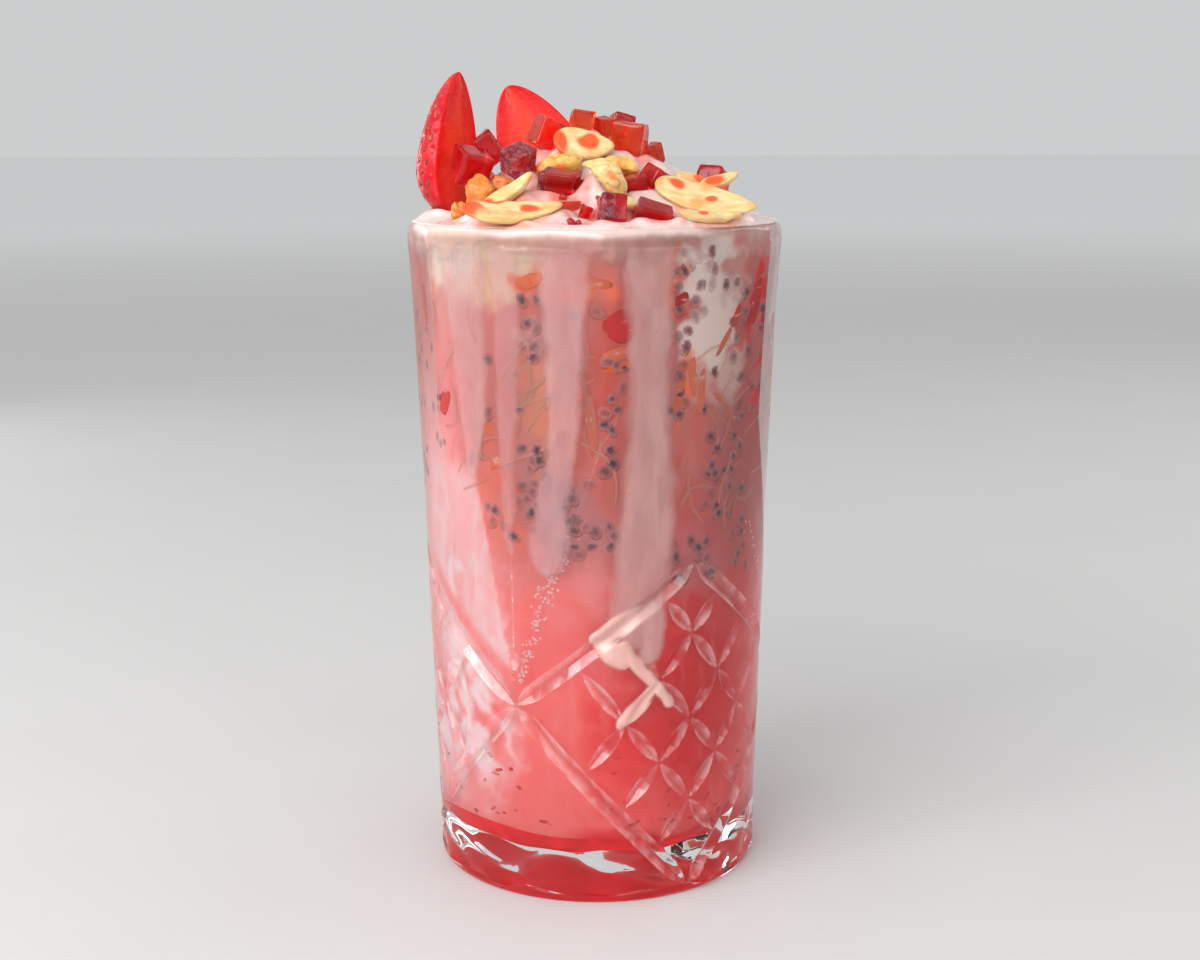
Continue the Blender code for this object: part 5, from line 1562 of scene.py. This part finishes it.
# each run: opacity, thickness, shade, and stops of bearing, height and half width
creamRuns = [
    (0.42, 0.3, "cool", [(-43, 137, 7.0), (-43, 124, 6.4), (-42, 106, 5.0), (-43, 91, 1.8)]),
    (0.34, 0.2, "dim", [(-27.5, 137, 3.8), (-27, 122, 3.2), (-28, 100, 2.6), (-28, 76, 1.3)]),
    (0.46, 0.3, "cool", [(-9, 137, 6.2), (-9.5, 122, 5.2), (-9.8, 101, 3.9), (-11.5, 94, 3.2), (-13, 87, 1.4)]),
    (0.5, 0.3, "dim", [(-10, 99, 2.0), (-12, 91, 3.6), (-13.5, 86, 4.0), (-15, 77, 5.0), (-15, 73, 3.0)]),
    (0.62, 0.4, "main", [(15.6, 137, 6.2), (16.2, 125, 5.6), (16.6, 107, 4.9), (16.4, 87, 6.6), (14.2, 70, 7.2),
                         (13, 62.5, 6.6), (12, 58, 3.8)]),
    (0.92, 0.5, "wet", [(-0.6, 57.9, 1.5), (4, 59.5, 2.3), (8.2, 61.0, 2.5), (13, 62.8, 2.2), (17.3, 64.2, 1.3)]),
    (0.92, 0.55, "wet", [(1.6, 56.8, 2.0), (5.5, 54.6, 2.7), (7.9, 53.2, 2.2)]),
    (0.72, 0.45, "main", [(17.4, 64, 3.2), (18, 60, 3.4), (17.6, 55.6, 3.3), (16.6, 53.6, 2.2)]),
    (0.9, 0.45, "wet", [(8.5, 56, 1.9), (13.9, 51.2, 1.6), (19, 47.7, 1.1), (24.1, 43.8, 1.7)]),
    (0.9, 0.42, "wet", [(19.4, 47.2, 1.1), (13.3, 43.0, 1.9), (7.4, 39.4, 1.1)]),
]
runShades = {
    "cool": tone(202, 156, 156), "dim": tone(188, 138, 142), "main": tone(184, 143, 140), "wet": tone(214, 168, 158),
}
# the collar's colour by bearing, painted light and shade: pale at the left, where the light falls, dark to the right;
# and the paler shade of its crest on the rim
collarLightAndShade = [
    (-70, tone(210, 178, 164)), (-30, tone(178, 134, 116)), (0, tone(176, 130, 122)), (30, tone(114, 64, 54)),
]
crestShade = tone(226, 204, 198)
runNodes = ["cream_collar", "drip_left", "drip_thin", "drip_middle", "drip_main", "drip_tail_left", "drip_tail_right"]


def runField(bearing, z):
    # how much cream lies at a place: the best over round dabs along each run's line, soft at its edge
    opacity, thick = np.zeros(bearing.shape), np.zeros(bearing.shape)
    shade = np.broadcast_to(runShades["main"], (*bearing.shape, 3)).copy()
    across = bearing * glass["degreeLength"]
    for cover, deep, name, stops in creamRuns:
        best = np.zeros(bearing.shape)
        for b, height, wide in spline(stops, 14 * (len(stops) - 1) + 1):
            off = ((across - b * glass["degreeLength"]) ** 2 + (z - height) ** 2) / wide**2
            best = np.maximum(best, 1 - off)
        share = smoothStep(0, runStyle["wetReach" if name == "wet" else "reach"], best)
        opacity = np.maximum(opacity, cover * share)
        thick = np.maximum(thick, deep * smoothStep(0, 1, best))
        tinge(shade, runShades[name], share)
    return opacity, thick, shade


def addCollar(b, z, fray, opacity, thick, shade):
    # the collar: cream smeared over the front of the rim, ending in a wavy line
    ends = smoothStep(-82, -72, b) * smoothStep(43, 27, b)
    line = 136.2 + 1.6 * fray - 0.8 * np.cos(b * 7 * degree)
    collar = ends * smoothStep(line - 3.2, line + 2.4, z)
    crest = smoothStep(137.4, 139.4, z)
    cover = (0.7 + 0.26 * crest - 0.2 * (1 - crest) * smoothStep(0, 30, b)) * collar
    # painted light and shade: the collar paler at the left, where the light falls, and darker to the right
    stops, tones = zip(*collarLightAndShade)
    rimLightAndShade = np.stack([np.interp(b, stops, part) for part in zip(*tones)], -1)
    tinge(rimLightAndShade, crestShade, 0.75 * crest)
    tinge(shade, rimLightAndShade, collar)
    return np.maximum(opacity, cover), np.maximum(thick, 0.4 * collar) * (1 + 0.12 * fray)


def makeRuns(material):
    # a sheet over the rim and down the wall, kept where the cream is, with a back just inside the glass
    style, shoulder = runStyle, glass["shoulder"]
    rim = spline(rimStops[4::-1], 14)
    heights = np.arange(shoulder - style["step"], style["low"], -style["step"])
    bearing = np.arange(style["from"], style["to"], style["step"] / glass["degreeLength"])
    b, z = np.meshgrid(bearing, np.concatenate([rim[:, 2], heights]), indexing="xy")
    high = len(rim)
    rimRadius = rim[:, 1:2] - rim[:, :1] * cutDepth(b[:high], np.minimum(z[:high], shoulder))
    radius = np.concatenate([rimRadius, glassRadius(b[high:], z[high:])])
    around = spot(b, radius, z)
    fray = 0.5 * ripple(around, 8, 50) + 0.25 * ripple(around, 3, 51)
    opacity, thick, shade = runField(b + 0.8 * fray, z)
    opacity, thick = addCollar(b, z, fray, opacity, thick, shade)
    lift = 0.03 + thick * (0.45 + 0.55 * smoothStep(140.05, 139.7, z))
    lean = np.clip((z - shoulder) / 3.5, 0, 1)  # over the rim the cream stands upwards as well as outwards
    front = spot(b, radius + lift * (1 - 0.75 * lean), z + lift * lean)
    back = spot(b, radius - style["back"], z - 0.02 * lean)
    wet = opacity > style["least"]
    cell = wet[:-1, :-1] | wet[1:, :-1] | wet[:-1, 1:] | wet[1:, 1:]
    rows, columns = b.shape
    kept = gridQuads(rows, columns, wrap=False).reshape(rows - 1, columns - 1, 4)[cell]
    total = rows * columns
    # side walls stand on the edges that only one kept cell has
    edges = np.concatenate([kept[:, [k, (k + 1) % 4]] for k in range(4)])
    _, first, times = np.unique(np.sort(edges, 1) @ [total, 1], return_index=True, return_counts=True)
    start, end = edges[first[times == 1]].T
    walls = np.stack([start, start + total, end + total, end], -1)
    used = np.zeros(2 * total, bool)
    used[kept] = used[kept + total] = True
    number = np.cumsum(used) - 1
    faces = [number[kept[:, ::-1]], number[kept + total], number[walls]]
    points = np.concatenate([front.reshape(-1, 3), back.reshape(-1, 3)])[used]
    values = {
        "veil": np.append(opacity, 0 * opacity)[used], "heavy": np.append(thick, thick)[used],
        "shade": np.concatenate([shade.reshape(-1, 3)] * 2)[used],
    }
    makePiece("cream_runs", points, faces, material, runNodes, values)


def runMaterial():
    # thin cream that lets the drink show through at its edges
    paint = Finish("thin_cream", (0.15, 0.0006), Roughness=0.2)
    cloud = paint.noise(3.5, 3, 0.5, 0.4, scale=(1, 1, 0.3))
    base = paint.mixed(paint.span(cloud, 0.4, 0.75, 0, 0.25), paint.painted(), tone(214, 176, 170))
    white = paint.mixed(paint.span(paint.value("heavy"), 0.45, 0.65, 0, 0.4), base, tone(228, 196, 188))
    paint.link(paint.mixed(paint.spots(0.6, 1, 0.76, 0.8, 0, 0.7), white, tone(110, 66, 64)))
    seen = paint.maths("MULTIPLY", paint.value("veil"), paint.span(cloud, 0.2, 0.7, 0.88, 1.06))
    paint.link(paint.maths("MINIMUM", seen, 1.0), "Alpha")
    paint.bump(paint.noise(2.5, 2), 0.1, 0.2)
    return paint.material


makeRuns(runMaterial())

# floor, light and camera
floorHalf = 14.0  # metres
# each lamp: place and aim in metres, size, power
lamps = [
    ("key", (-0.52, -0.74, 0.6), (0, 0, 0.08), (0.9, 0.6), 10.8),
    ("left", (-0.72, -0.19, 0.46), (0, 0, 0.06), (0.62, 0.18), 1.8),
    ("front", (0.35, -0.66, 0.46), (0, 0, 0.06), (1.1, 0.18), 1.5),
    ("right", (0.7, 0.25, 0.46), (0, 0, 0.06), (1.1, 0.18), 1.5),
    ("strip", (-0.52, 0.55, 0.16), (0, 0, 0.1), (0.12, 0.28), 0.45),
]
worldLight = {"colour": (0.98, 0.99, 1.0, 1), "strength": 0.62}
cameraStyle = {"distance": 0.3797, "height": 0.1578, "pitch": 11.06, "roll": -0.158, "lens": 52.8, "shift": 0.0033}
bounces = {"all": 16, "through": 12, "clear": 16}


def makeStage():
    # a pale floor that turns paler with distance: painted light, so that the far floor fades into the bright
    # surroundings
    mesh = bpy.data.meshes.new("floor")
    corners = [(x * floorHalf, y * floorHalf, 0) for x, y in ((-1, -1), (1, -1), (1, 1), (-1, 1))]
    mesh.from_pydata(corners, [], [(0, 1, 2, 3)])
    floor = bpy.data.objects.new("floor", mesh)
    bpy.context.scene.collection.objects.link(floor)
    paint = Finish("floor", Roughness=0.6)
    near = paint.mixed(paint.noise(60, 3), tone(196, 195, 194), tone(201, 200, 199))
    away = paint.node("VectorMath", {0: paint.where}, operation="LENGTH").outputs["Value"]
    paint.link(paint.mixed(paint.span(away, 0.5, 3.0), near, tone(246, 246, 246)))
    mesh.materials.append(paint.material)


def makeLight():
    # an even pale surrounding, and soft rectangular lamps
    world = bpy.data.worlds.new("studio")
    bpy.context.scene.world = world
    world.use_nodes = True
    ground = world.node_tree.nodes["Background"]
    ground.inputs["Color"].default_value = worldLight["colour"]
    ground.inputs["Strength"].default_value = worldLight["strength"]
    for name, place, aim, size, power in lamps:
        lamp = bpy.data.lights.new(name, "AREA")
        lamp.shape = "RECTANGLE"
        lamp.size, lamp.size_y = size
        lamp.energy = power
        thing = bpy.data.objects.new(name, lamp)
        thing.location = place
        thing.rotation_euler = (Vector(aim) - Vector(place)).to_track_quat("-Z", "Y").to_euler()
        bpy.context.scene.collection.objects.link(thing)


def makeCamera():
    # the photo's view: in front, a little above the cream's foot, looking slightly down
    style = cameraStyle
    lens = bpy.data.cameras.new("photo")
    lens.lens, lens.shift_x, lens.clip_start = style["lens"], style["shift"], 0.01
    camera = bpy.data.objects.new("photo", lens)
    turn = Matrix.Rotation((90 - style["pitch"]) * degree, 4, "X") @ Matrix.Rotation(style["roll"] * degree, 4, "Z")
    camera.matrix_world = Matrix.Translation((0, -style["distance"], style["height"])) @ turn
    bpy.context.scene.collection.objects.link(camera)
    bpy.context.scene.camera = camera


makeStage()
makeLight()
makeCamera()
bpy.context.scene.view_settings.view_transform = "Standard"
bpy.context.scene.cycles.max_bounces = bounces["all"]
bpy.context.scene.cycles.transmission_bounces = bounces["through"]
bpy.context.scene.cycles.transparent_max_bounces = bounces["clear"]
print("stage, light and camera are set")
